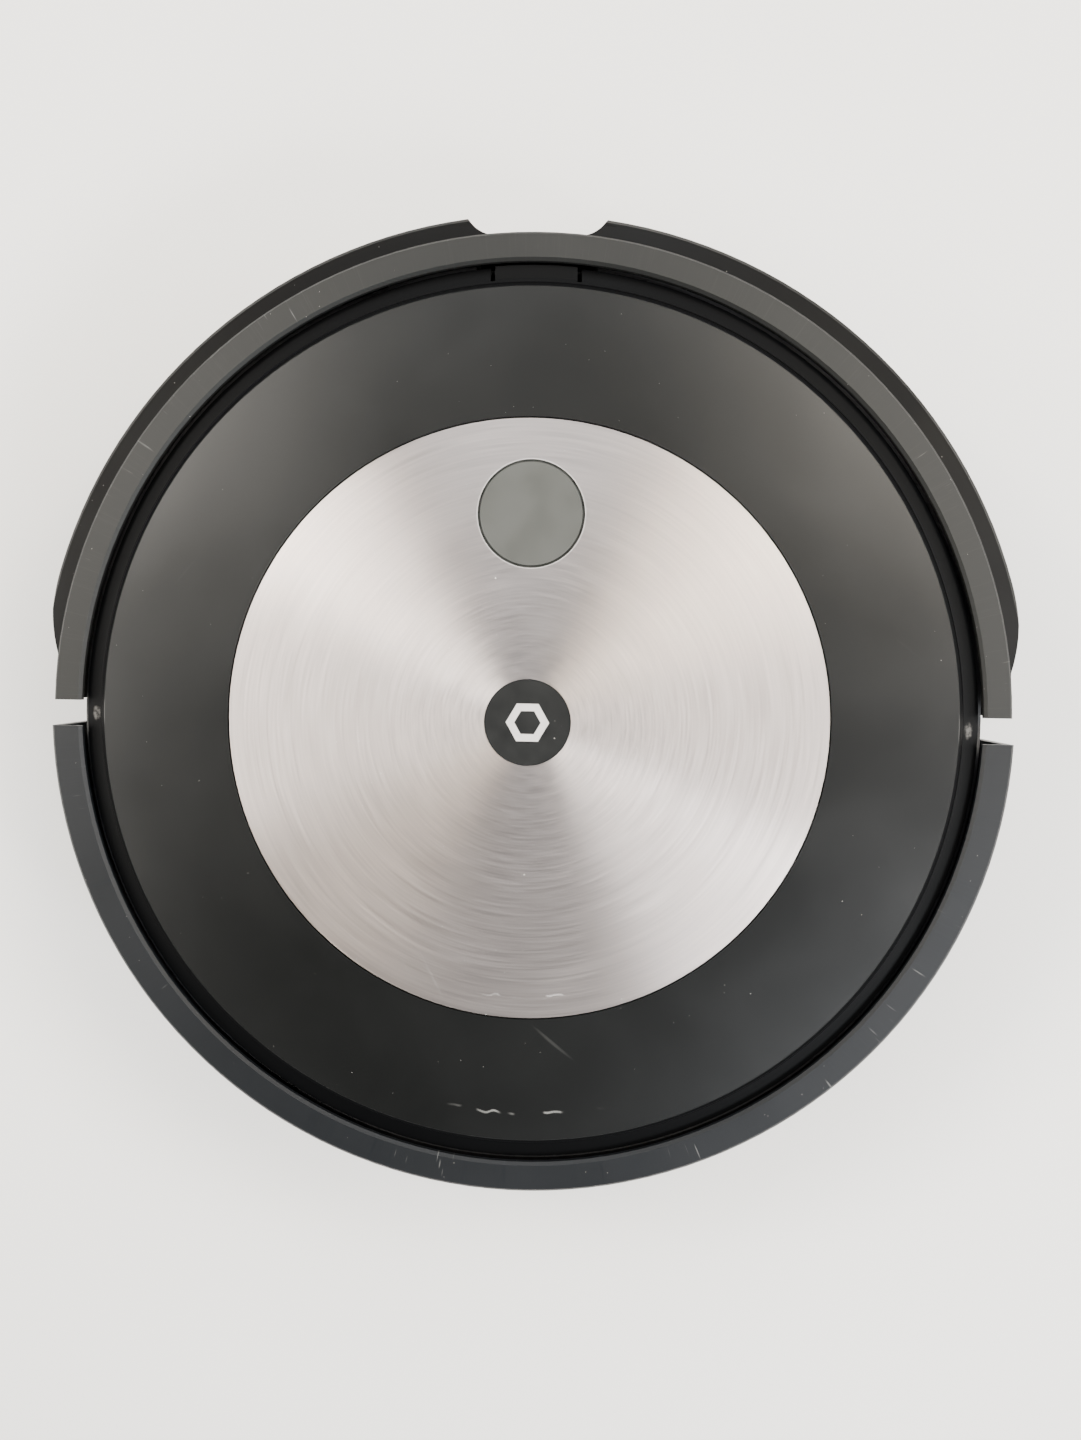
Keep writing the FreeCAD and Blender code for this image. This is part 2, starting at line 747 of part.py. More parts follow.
def make_bumper():
    """The floating front half: ring, skirt with camera notch, and windows."""
    half_seam = -seam_gap / 2
    ring_outline = [
        (ring_inner, ring_under),
        (ring_inner, ring_top - ring_bevel),
        (ring_inner + ring_bevel, ring_top),
        (ring_outer - 0.8, ring_top),
        (ring_outer, ring_top - 0.8),
        (ring_outer, ring_foot),
        (ring_outer - rim_thickness, ring_foot),
        (ring_outer - rim_thickness, ring_under),
    ]
    save("bumper_ring", spun(ring_outline).common(ahead_of(half_seam)))

    foot = skirt_bottom
    solid = spun([
        (0, foot),
        (skirt_radius - 4, foot),
        (skirt_radius, foot + 11),
        (skirt_radius, ring_foot - 3.5),
        (skirt_radius - 1.5, ring_foot - 1.8),
        (ring_outer + 0.2, ring_foot),
        (0, ring_foot),
    ]).common(bumper_plan(0, 0, body_height))
    hollow = spun([
        (0, foot + 2.2),
        (skirt_inner - 2.7, foot + 2.2),
        (skirt_inner, foot + 11.5),
        (skirt_inner, ring_foot - 4.2),
        (skirt_inner - 0.7, ring_foot - 3.7),
        (ring_outer - 3.5, ring_foot - 2),
        (0, ring_foot - 2),
    ]).common(bumper_plan(skirt_wall, 0, body_height))
    shell = cut_by(solid, [
        hollow,
        rod_z(ring_outer - 3.5, ring_foot - 3, body_height),
        rod_z(skirt_radius - 10, 0, foot + 3),
    ])
    jamb_half = notch_outer_half + 2.5
    pocket = tube_z(
        skirt_inner + 0.3, glass_outer + play, notch_bottom - 2, ring_foot - 1.5
    ).common(block(-jamb_half, jamb_half, -2 * body_radius, 0, 0, body_height))
    tongue = block(
        tongue_x - tongue_half_width, tongue_x + tongue_half_width, -2 * body_radius, -tongue_end,
        tongue_low(), tongue_low() + tongue_thickness
    ).common(rod_z(skirt_inner + 0.7, 0, body_height))
    heel = block(
        tongue_x - tongue_half_width, tongue_x + tongue_half_width, -tongue_end - 2, -tongue_end,
        tongue_low() - 4.5, tongue_low() + tongue_thickness
    )
    rail = joined([tongue, heel])
    whole = joined([shell, pocket, rail, mirrored(rail)])
    save("bumper_skirt", cut_by(whole, [notch_tool(), window_groove(snug)]))
    save("bumper_window", window_groove(0))
    glass = tube_z(glass_outer, glass_inner, notch_bottom, ring_foot)
    neck = notch_inner_half - snug
    plate_low = ring_foot - skin - snug
    span = joined([
        block(-glass_half, glass_half, -2 * body_radius, 0, 0, plate_low - play),
        block(-neck, neck, -2 * body_radius, 0, 0, body_height),
    ])
    save("camera_window", glass.common(span))


def make_bump_parts():
    """The two bump switches behind the tongues."""
    face = -tongue_end + spring_length
    switch = block(tongue_x - 6, tongue_x + 6, face, face + 6, deck_under - 8, deck_under)
    save("bump_switches", switch, mirrored(switch))


def make_springs():
    """Bumper return springs and the springs that press the drive wheels down."""
    radius = 3.0
    coil = corrugated(radius, spring_length - 2 * snug, 8)
    coil.rotate(ORIGIN, ALONG_X, -90)
    coil.translate(V(tongue_x, -tongue_end + snug, deck_under - 1 - radius))
    strut = corrugated(3.8, housing_top - skin - spring_seat_z() - 2 * snug, 10)
    strut.translate(V((arm_inner_x + arm_outer_x) / 2, spring_seat_y(), spring_seat_z() + snug))
    save("return_springs", coil, mirrored(coil), strut, mirrored(strut))


# =============================================================== drive wheels
def spring_seat_y():
    """Middle of the flat spring seat on the arm."""
    return arm_pivot_y + 23.5


def spring_seat_z():
    """Top of the flat spring seat on the arm."""
    return arm_pivot_z + 7.0


def make_drive_side(side):
    """One drive wheel module; side is "left" or "right"."""
    place = (lambda shape: shape) if side == "left" else mirrored
    tyre_outer_x = tyre_inner_x + tyre_width

    outside = housing_outside(0, ground_gap, housing_top, nook_top)
    main_room = block(
        housing_inner_x + skin, housing_outer_x - skin, housing_front + skin, housing_rear - skin,
        0, housing_top - skin
    )
    nook_room = block(
        nook_inner_x + skin, housing_inner_x + 2 * skin, housing_front + skin, nook_rear - skin,
        0, nook_top - skin
    )
    ear = block(
        arm_outer_x + 1.5, arm_outer_x + 5.0, housing_front + skin - snug, arm_pivot_y + 3.5,
        arm_pivot_z - 6, housing_top - skin + snug
    )
    hole = pivot_pin_radius + shaft_play
    housing = joined([cut_by(outside, [main_room, nook_room]), ear])
    housing = cut_by(housing, [
        rod_x(hole, nook_inner_x - deep, nook_inner_x + skin + deep, arm_pivot_y, arm_pivot_z),
        rod_x(hole, arm_outer_x + deep, arm_outer_x + 5 + deep, arm_pivot_y, arm_pivot_z),
    ])
    save("wheel_housing_" + side, place(housing))

    seat_half = 5.0
    arm = joined([
        rod_x(arm_pivot_end, arm_inner_x, arm_outer_x, arm_pivot_y, arm_pivot_z),
        rod_x(arm_axle_end, arm_inner_x, arm_outer_x, 0, wheel_radius),
        filled([
            V(arm_inner_x, arm_pivot_y + 3, arm_pivot_z + 12.4),
            V(arm_inner_x, 2, wheel_radius + 8.6),
            V(arm_inner_x, -2, wheel_radius - 8.6),
            V(arm_inner_x, arm_pivot_y - 3, arm_pivot_z - 12.4),
        ]).extrude(V(arm_outer_x - arm_inner_x, 0, 0)),
        block(
            arm_inner_x, arm_outer_x, spring_seat_y() - seat_half, spring_seat_y() + seat_half,
            wheel_radius, spring_seat_z()
        ),
    ])
    bore = rod_x(wheel_axle_radius + shaft_play, arm_inner_x - deep, arm_outer_x + deep, 0, wheel_radius)
    save("wheel_arm_" + side, place(arm.cut(bore)))

    motor_x = arm_inner_x - drive_motor_length
    motor = rod_x(drive_motor_radius, motor_x, arm_inner_x, arm_pivot_y, arm_pivot_z)
    boss = rod_x(0.55 * drive_motor_radius, motor_x - 1, motor_x + snug, arm_pivot_y, arm_pivot_z)
    save("wheel_motor_" + side, place(joined([motor, boss])))

    inner_pin = rod_x(pivot_pin_radius, nook_inner_x - 1.5, motor_x - 1, arm_pivot_y, arm_pivot_z)
    outer_pin = rod_x(pivot_pin_radius, arm_outer_x, arm_outer_x + 5.5, arm_pivot_y, arm_pivot_z)
    shank = rod_x(wheel_axle_radius, arm_inner_x + 2, tyre_outer_x - 2.5, 0, wheel_radius)
    head = rod_x(wheel_axle_radius + 2, tyre_outer_x - 2.6, tyre_outer_x - 1, 0, wheel_radius)
    save("wheel_pins_" + side, place(inner_pin), place(outer_pin), place(joined([shank, head])))

    rim_outer = wheel_radius - tyre_thickness - snug
    bore_radius = wheel_axle_radius + shaft_play
    x0 = tyre_inner_x + 0.4
    x1 = tyre_outer_x - 0.4
    web = x0 + 5.0
    boss_end = tyre_outer_x - 2.8
    hub = spun_x([
        (bore_radius, x0),
        (9.0, x0),
        (9.0, web),
        (rim_outer - 3.5, web),
        (rim_outer - 2.5, x0),
        (rim_outer, x0),
        (rim_outer, x1),
        (rim_outer - 2.5, x1),
        (rim_outer - 3.5, web + 3.5),
        (9.0, web + 3.5),
        (8.0, boss_end),
        (bore_radius, boss_end),
    ], 0, wheel_radius)
    windows = [
        turned(rod_x(5.0, web - deep, web + 3.5 + deep, 0, wheel_radius + 16.5), 72 * k,
               V(0, 0, wheel_radius), ALONG_X)
        for k in range(5)
    ]
    save("wheel_hub_" + side, place(cut_by(hub, windows)))

    tyre = spun_x([
        (wheel_radius - tyre_thickness, tyre_inner_x),
        (wheel_radius - 2.5, tyre_inner_x),
        (wheel_radius - 1.0, tyre_inner_x + 1.5),
        (wheel_radius, tyre_inner_x + 3.5),
        (wheel_radius, tyre_outer_x - 3.5),
        (wheel_radius - 1.0, tyre_outer_x - 1.5),
        (wheel_radius - 2.5, tyre_outer_x),
        (wheel_radius - tyre_thickness, tyre_outer_x),
    ], 0, wheel_radius)
    save("wheel_tyre_" + side, place(tyre))


# ==================================================================== caster
def make_caster():
    """Socket, swivelling fork, wheel and axle of the front caster."""
    stem = caster_stem_radius
    top = caster_socket_top
    axle_y = caster_y + caster_trail
    axle_z = caster_wheel_radius
    crown_low = 2 * caster_wheel_radius + 4.5
    crown_high = crown_low + 3.5
    bearing_top = top + 3.0
    cup = rod_z(caster_socket_radius, ground_gap, top, 0, caster_y)
    cup = cup.cut(rod_z(caster_socket_radius - skin, 0, top - skin, 0, caster_y))
    bearing = rod_z(stem + 3, crown_high + 1, bearing_top, 0, caster_y)
    socket = joined([cup, bearing])
    save("caster_socket", socket.cut(rod_z(stem + shaft_play, 0, body_height, 0, caster_y)))

    cheek_in = caster_wheel_half + 0.7
    cheek = block(
        cheek_in, cheek_in + cheek_thickness, axle_y - 6, axle_y + 6, axle_z - 5, crown_low + snug
    )
    fork = joined([
        rod_z(stem, crown_low, bearing_top + play, 0, caster_y),
        rod_z(stem + 1.5, bearing_top + play, bearing_top + 1.8, 0, caster_y),
        rod_z(13, crown_low, crown_high, 0, caster_y),
        cheek,
        mirrored(cheek),
    ])
    hole = rod_x(caster_axle_radius + shaft_play, -body_radius, body_radius, axle_y, axle_z)
    save("caster_fork", fork.cut(hole))
    reach = cheek_in + cheek_thickness
    save("caster_axle", rod_x(caster_axle_radius, -reach, reach, axle_y, axle_z))
    half = caster_wheel_half
    bore_radius = caster_axle_radius + shaft_play
    wheel = spun_x([
        (bore_radius, -half),
        (caster_wheel_radius - 3, -half),
        (caster_wheel_radius, -half + 3),
        (caster_wheel_radius, half - 3),
        (caster_wheel_radius - 3, half),
        (bore_radius, half),
    ], axle_y, axle_z)
    save("caster_wheel", wheel)


# ================================================================ side brush
def make_side_brush():
    """Gearmotor, hub with its shaft, and three arms of bristles."""
    x = side_brush_x
    y = side_brush_y
    shaft = side_shaft_radius
    hub_low = 3.5
    hub_high = ground_gap - 0.6
    motor = rod_z(side_motor_radius, base_top, side_motor_top, x, y)
    tower = rod_z(0.6 * side_motor_radius, side_motor_top - snug, side_motor_top + 8, x, y)
    bore = rod_z(shaft + shaft_play, 0, base_top + 8, x, y)
    save("side_brush_motor", joined([motor, tower]).cut(bore))
    hub = joined([
        rod_z(side_hub_radius, hub_low, hub_high, x, y),
        rod_z(shaft, hub_high - snug, base_top + 7.5, x, y),
        rod_z(3.5, hub_low - 1, hub_low + snug, x, y),
    ])
    save("side_brush_hub", hub)
    start = side_hub_radius + snug
    arm = filled([
        V(start, -bristle_half_width, hub_low + 0.3),
        V(start, -bristle_half_width, hub_low + 3.5),
        V(bristle_reach, -bristle_half_width, 2.8),
        V(bristle_reach, -bristle_half_width, 1.2),
    ]).extrude(V(0, 2 * bristle_half_width, 0))
    outward = math.degrees(math.atan2(y, x))
    arms = []
    for k in range(3):
        tuft = turned(arm, outward + 60 + 120 * k)
        tuft.translate(V(x, y, 0))
        arms.append(tuft)
    save("side_brush_bristles", *arms)


# ============================================================= cleaning head
def make_cleaning_head():
    """The housing over the two rollers, with the gear case and the throat."""
    hump = roller_cavity + head_roof
    inner = head_half - head_end_wall
    gear_case = -inner
    gear_wall_left = roller_right - play - 2.2
    gear_wall_right = gear_wall_left - head_gear_wall
    envelope = block(-head_half, head_half, head_front, head_rear, ground_gap, roller_z + hump + deep)
    outside = joined([
        rod_x(hump, -head_half, head_half, roller_front_y, roller_z),
        rod_x(hump, -head_half, head_half, roller_rear_y, roller_z),
        block(-head_half, head_half, head_front, head_rear, ground_gap, roller_z + 2.5),
        block(-throat_half - skin, throat_half + skin, head_rear - 16, head_rear, throat_low - skin,
              throat_high + skin),
        block(-head_half, head_half, roller_front_y, roller_rear_y, ground_gap, roller_z + 12),
    ]).common(envelope)
    cheek = block(inner, head_half, head_front + 0.5, frame_hinge_y + 3, ground_gap - 1.5, ground_gap + snug)
    body = joined([outside, cheek, mirrored(cheek)])
    frame_room = block(-inner, inner, head_front + 1.2, head_rear - 1.6, 0, head_under)
    mouth = block(
        gear_wall_left, inner, roller_front_y - roller_cavity, roller_rear_y + roller_cavity, 0, roller_z
    )
    tools = [
        frame_room,
        mouth,
        rod_x(roller_cavity, gear_wall_left, inner, roller_front_y, roller_z),
        rod_x(roller_cavity, gear_wall_left, inner, roller_rear_y, roller_z),
        block(-throat_half, throat_half, roller_rear_y, head_rear + deep, throat_low, throat_high),
        block(gear_case, gear_wall_right, roller_front_y - 9, roller_rear_y + 9,
              head_under + 1, roller_z + 7.8),
        rod_x(frame_pin_radius + snug, -head_half - deep, head_half + deep, frame_hinge_y, frame_hinge_z),
    ]
    for y in (roller_front_y, roller_rear_y):
        tools.append(rod_x(roller_journal + shaft_play, gear_wall_right - deep, gear_wall_left + deep,
                           y, roller_z))
    for k in (0, 1, 2):
        y = roller_front_y + 2 * gear_pitch_radius * k
        tools.append(rod_x(idler_journal + shaft_play, -head_half + deep, gear_case + deep, y, roller_z))
    for k in (1, 2):
        y = roller_front_y + 2 * gear_pitch_radius * k
        tools.append(rod_x(idler_journal + shaft_play, gear_wall_right - deep, gear_wall_left - 1,
                           y, roller_z))
    tools.append(rod_x(drive_journal + shaft_play, -head_half - deep, gear_case + deep,
                       roller_rear_y, roller_z))
    save("cleaning_head", cut_by(body, tools))


def make_rollers():
    """Two rollers, the two idler gears between them, the bearings and the motor."""
    inner = head_half - head_end_wall
    stub_end = -head_half + deep + 0.2
    for name, y, phase in (("front", roller_front_y, 0), ("rear", roller_rear_y, 15)):
        pieces = [
            rod_x(roller_core_radius, roller_right, roller_left, y, roller_z),
            rod_x(roller_journal, gear_right - 2, roller_right + snug, y, roller_z),
            rod_x(3, roller_left - snug, inner - play, y, roller_z),
            gear(gear_right, gear_left, y, roller_z, phase),
        ]
        if name == "front":
            pieces.append(rod_x(idler_journal, stub_end, gear_right - 2 + snug, y, roller_z))
        else:
            pieces.append(rod_x(drive_journal, -head_half - 7, gear_right - 2 + snug, y, roller_z))
        save(name + "_roller_core", joined(pieces))
        sleeve = rod_x(roller_skin_radius, roller_right + 1, roller_left - 1, y, roller_z)
        fins = []
        for k in range(roller_fins):
            fin = block(
                roller_right + 1, roller_left - 1, y - roller_fin_width / 2, y + roller_fin_width / 2,
                roller_z, roller_z + roller_fin_radius
            )
            fin = turned(fin, phase + k * 360.0 / roller_fins, V(0, y, roller_z), ALONG_X)
            fins.append(fin.common(rod_x(roller_fin_radius, -body_radius, body_radius, y, roller_z)))
        rubber = joined([sleeve] + fins)
        bore = rod_x(roller_core_radius + snug, -body_radius, body_radius, y, roller_z)
        save(name + "_roller_rubber", rubber.cut(bore))
    for k, name in ((1, "idler_front"), (2, "idler_rear")):
        y = roller_front_y + 2 * gear_pitch_radius * k
        left = roller_right - play - 2.2 - 1 - 0.2
        save(name, joined([
            gear(gear_right, gear_left, y, roller_z, 15 * (k % 2)),
            rod_x(idler_journal, stub_end, left, y, roller_z),
        ]))
    bearings = []
    for y in (roller_front_y, roller_rear_y):
        ring = rod_x(8, inner - 2, inner, y, roller_z)
        bearings.append(ring.cut(rod_x(3 + shaft_play, 0, inner + deep, y, roller_z)))
    save("roller_bearings", *bearings)
    motor_x = -head_half - brush_motor_length
    motor = rod_x(brush_motor_radius, motor_x, -head_half, roller_rear_y, roller_z)
    bore = rod_x(drive_journal + shaft_play, -head_half - 8, -head_half + deep, roller_rear_y, roller_z)
    save("brush_motor", motor.cut(bore))


def make_brush_frame():
    """The hinged frame that holds the rollers in, and its sliding tab."""
    half = head_half - head_end_wall - 0.5
    low = frame_hinge_z - frame_thickness / 2
    high = frame_hinge_z + frame_thickness / 2
    plate = block(-half, half, frame_front, frame_rear, low, high)
    rib_y = roller_front_y + roller_pitch / 2
    opening = block(
        roller_right - 0.8, roller_left + 0.8, frame_front + 2.3, frame_rear - 2.5, 0, high + deep
    )
    rib = block(roller_right - 1, roller_left + 1, rib_y - 1.4, rib_y + 1.4, low, high)
    tab_room = block(tab_right - play, tab_left + play, tab_front - tab_travel - play,
                    tab_rear + play, 0, low + 2.6)
    pin = rod_x(frame_pin_radius, half - snug, head_half - 0.2, frame_hinge_y, frame_hinge_z)
    body = plate.cut(opening)
    body = joined([body, rib, pin, mirrored(pin)])
    save("brush_frame", body.cut(tab_room))
    save("frame_tab", block(tab_right, tab_left, tab_front, tab_rear, low - 1.4, low + 2.3))


# ========================================================== dust bin and fan
def fan_centre_y():
    """The fan sits as far back as its case can go inside the rim."""
    room = chassis_radius - rim_thickness - 1.0
    return math.sqrt(room ** 2 - fan_left ** 2) - fan_case_radius


def filter_box(grow, x0, x1):
    """The filter in the bin's left wall, or the opening for it."""
    y0 = bin_front + skin + 2
    y1 = y0 + 28
    return block(x0, x1, y0 - grow, y1 + grow, 24 - grow, 64 + grow)


def make_bin():
    """Dust bin body, its door, filter, release button and evacuation flap."""
    low = base_top + play
    box = block(-bin_half, bin_half, bin_front + skin, 2 * body_radius, low, bin_top)
    body = bin_envelope(0).common(box)
    room = block(-bin_half + skin, bin_half - skin, bin_front, 2 * body_radius, low + skin, bin_top - skin)
    body = body.cut(bin_envelope(skin).common(room))
    rear_face = body_radius - skin
    pocket_back = rear_face - release_travel - 1.5 - skin
    well = block(
        -release_half - play - skin, release_half + play + skin, pocket_back, rear_face + 0.5,
        release_low - play - skin, release_high + play + skin
    )
    floor_top = low + skin
    hinge_y = port_rear + 2
    hinge_z = floor_top + 1.7
    lugs = [
        block(x, x + 1.7, hinge_y - 2.5, hinge_y + 2, floor_top - snug, hinge_z + 1.7)
        for x in (port_right - 3, port_left + 1.3)
    ]
    body = joined([body.cut(filter_box(0, bin_half - skin - deep, bin_half + deep)), well] + lugs)
    tools = [
        block(
            -release_half - play, release_half + play, pocket_back + skin, 2 * body_radius,
            release_low - play, release_high + play
        ),
        block(port_right, port_left, port_front, port_rear, 0, floor_top + deep / 2),
        rod_x(0.8 + shaft_play, port_right - 4, port_left + 4, hinge_y, hinge_z),
    ]
    save("bin_body", cut_by(body, tools))

    door = block(-bin_half, bin_half, bin_front, bin_front + skin, low, bin_top)
    inlet = block(
        -throat_half, throat_half, bin_front - deep, bin_front + skin + deep, throat_low, throat_high
    )
    save("bin_door", door.cut(inlet))

    frame = filter_box(-snug, bin_half - skin - 4, bin_half)
    grooves = []
    for k in range(10):
        y = bin_front + skin + 4 + 2.6 * k
        grooves.append(block(bin_half - skin - 5, bin_half - skin - 1, y - 0.5, y + 0.5, 26, 62))
    save("bin_filter", cut_by(frame, grooves))

    button = block(
        -release_half, release_half, pocket_back + skin + release_travel + play, 2 * body_radius,
        release_low, release_high
    )
    save("bin_release", button.common(bin_envelope(0)))

    flap = joined([
        block(port_right - 1, port_left + 1, port_front - 1, hinge_y, floor_top + play,
              floor_top + play + flap_thickness),
        rod_x(1.2, port_right - 1, port_left + 1, hinge_y, hinge_z),
        rod_x(0.8, port_right - 2.8, port_left + 2.8, hinge_y, hinge_z),
    ])
    save("evac_flap", flap)


def make_fan():
    """Suction fan: scroll case, impeller with its shaft, and motor."""
    y = fan_centre_y()
    z = fan_z
    right = fan_right
    left = fan_left
    inside_right = right + skin
    inside_left = left - skin
    duct_rear = y + fan_case_radius + 0.5
    case = joined([
        rod_x(fan_case_radius, right, left, y, z),
        block(right, left - skin, y, duct_rear, z + 8, z + fan_case_radius),
        block(right + skin, left - skin, y - 8, y + 8, base_top, z - fan_case_radius + 5),
    ])
    case = cut_by(case, [
        rod_x(fan_case_radius - fan_wall, inside_right, inside_left, y, z),
        block(inside_right, left - 2 * skin, y, duct_rear + deep, z + 8 + fan_wall,
              z + fan_case_radius - fan_wall),
        rod_x(fan_inlet_radius, right - deep, inside_right + deep, y, z),
        rod_x(2 * fan_shaft_radius, inside_left - deep, left + deep, y, z),
    ])
    save("fan_case", case)
    plate_x = inside_left - 2.5
    impeller_radius = fan_case_radius - fan_wall - 1.0
    blades = []
    for k in range(fan_blades):
        blade = block(inside_right + 1, plate_x + snug, y - 0.6, y + 0.6, z + 6, z + impeller_radius - 0.3)
        blades.append(turned(blade, 360.0 * k / fan_blades, V(0, y, z), ALONG_X))
    impeller = joined([
        rod_x(impeller_radius, plate_x, plate_x + 1.5, y, z),
        rod_x(4, inside_right + 3, plate_x + snug, y, z),
        rod_x(fan_shaft_radius, plate_x, left + 6, y, z),
    ] + blades)
    save("fan_impeller", impeller)
    motor = rod_x(fan_motor_radius, left, left + 10, y, z)
    save("fan_motor", motor.cut(rod_x(fan_shaft_radius + shaft_play, left - deep, left + 7, y, z)))


make_chassis()
make_deck()
make_rear_shell()
make_bottom_pieces()
make_top_cover()
make_disc_and_button()
make_boards_and_battery()
make_bumper()
make_bump_parts()
make_springs()
make_drive_side("left")
make_drive_side("right")
make_caster()
make_side_brush()
make_cleaning_head()
make_rollers()
make_brush_frame()
make_bin()
make_fan()
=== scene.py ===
"""Robot vacuum: finishes for the fixed frame, the soft and fine pieces laid over it, and its stage."""

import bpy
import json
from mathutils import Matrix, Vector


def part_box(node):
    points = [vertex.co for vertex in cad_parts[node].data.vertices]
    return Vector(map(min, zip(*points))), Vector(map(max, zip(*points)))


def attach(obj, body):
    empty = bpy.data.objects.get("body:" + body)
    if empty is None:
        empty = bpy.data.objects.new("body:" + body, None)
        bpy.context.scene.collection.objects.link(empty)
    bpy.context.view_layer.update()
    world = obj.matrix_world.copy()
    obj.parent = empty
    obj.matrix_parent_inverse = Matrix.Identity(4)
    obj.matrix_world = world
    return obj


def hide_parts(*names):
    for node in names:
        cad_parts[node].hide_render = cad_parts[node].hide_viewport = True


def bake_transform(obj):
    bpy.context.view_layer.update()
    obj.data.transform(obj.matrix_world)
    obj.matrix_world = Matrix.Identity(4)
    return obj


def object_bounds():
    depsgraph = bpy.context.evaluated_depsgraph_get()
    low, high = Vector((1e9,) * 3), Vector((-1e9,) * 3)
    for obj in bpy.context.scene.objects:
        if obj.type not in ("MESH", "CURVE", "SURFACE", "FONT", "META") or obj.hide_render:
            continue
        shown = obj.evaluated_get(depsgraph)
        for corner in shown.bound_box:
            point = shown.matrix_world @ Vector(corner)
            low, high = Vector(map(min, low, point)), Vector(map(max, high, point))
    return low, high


bl_info = {
    "name": "Robot vacuum",
    "version": (1, 0, 0),
    "blender": (4, 5, 0),
    "location": "View3D > Sidebar > Vacuum",
    "description": "Finishes a round robot vacuum and models its tyres, brushes, springs and filter",
    "category": "Object",
}

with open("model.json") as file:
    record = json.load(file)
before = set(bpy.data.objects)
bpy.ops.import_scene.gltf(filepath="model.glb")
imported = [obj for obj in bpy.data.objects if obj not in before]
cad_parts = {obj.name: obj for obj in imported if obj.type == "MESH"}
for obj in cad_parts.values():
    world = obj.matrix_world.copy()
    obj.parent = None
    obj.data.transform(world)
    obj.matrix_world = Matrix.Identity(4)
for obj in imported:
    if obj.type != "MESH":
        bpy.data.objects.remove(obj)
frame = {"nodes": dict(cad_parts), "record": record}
cad_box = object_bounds()

import json
import math
import random

import bmesh
import bpy
from bpy.props import FloatProperty, FloatVectorProperty, IntProperty, PointerProperty
from mathutils import Matrix, Vector

MM = 0.001
ACROSS = Vector((1, 0, 0))
ALONG = Vector((0, 1, 0))
UP = Vector((0, 0, 1))
DUST = (0.50, 0.48, 0.45, 1)
RUBBED = (0.20, 0.20, 0.19, 1)
# Near-white colour of the painted highlight round the button's hole in the disc.
PAINTED_HIGHLIGHT = (0.95, 0.93, 0.90, 1)
SCUFF_PALE = (0.82, 0.80, 0.78, 1)
DISC_DUST = (0.86, 0.84, 0.80, 1)
NICK_PALE = (0.14, 0.14, 0.135, 1)
MARK_METAL = (0.60, 0.58, 0.56, 1)
SPINDLE_STEPS = 96
SLEEVE_STEPS = 72
BUMPER_SPRINGS_FROM = 0.6
RING_FACE_FROM, RING_FACE_TO = 80.5 * MM, 81.5 * MM
SEAM_X = 151.5 * MM
COVER_SLOPE = 8.7 * MM
CAMERA_PLACE = (-14.0 * MM, -21.9 * MM, 455.1 * MM)
CAMERA_TURN = (-3.221, 1.545, 181.097)


# ------------------------------------------------------------------ finishes
class Wire:
    """One output of a node, so that sums on it read as ordinary arithmetic."""

    def __init__(self, finish, socket):
        self.finish = finish
        self.socket = socket

    def __add__(self, other):
        return self.finish.maths("ADD", self, other)

    def __radd__(self, other):
        return self.finish.maths("ADD", other, self)

    def __sub__(self, other):
        return self.finish.maths("SUBTRACT", self, other)

    def __rsub__(self, other):
        return self.finish.maths("SUBTRACT", other, self)

    def __mul__(self, other):
        return self.finish.maths("MULTIPLY", self, other)

    def __rmul__(self, other):
        return self.finish.maths("MULTIPLY", other, self)

    def __truediv__(self, other):
        return self.finish.maths("DIVIDE", self, other)

    def __rtruediv__(self, other):
        return self.finish.maths("DIVIDE", other, self)

    def __pow__(self, other):
        return self.finish.maths("POWER", self, other)

    def __rpow__(self, other):
        return self.finish.maths("POWER", other, self)

    def __gt__(self, other):
        return self.finish.maths("GREATER_THAN", self, other)

    def __lt__(self, other):
        return self.finish.maths("LESS_THAN", self, other)


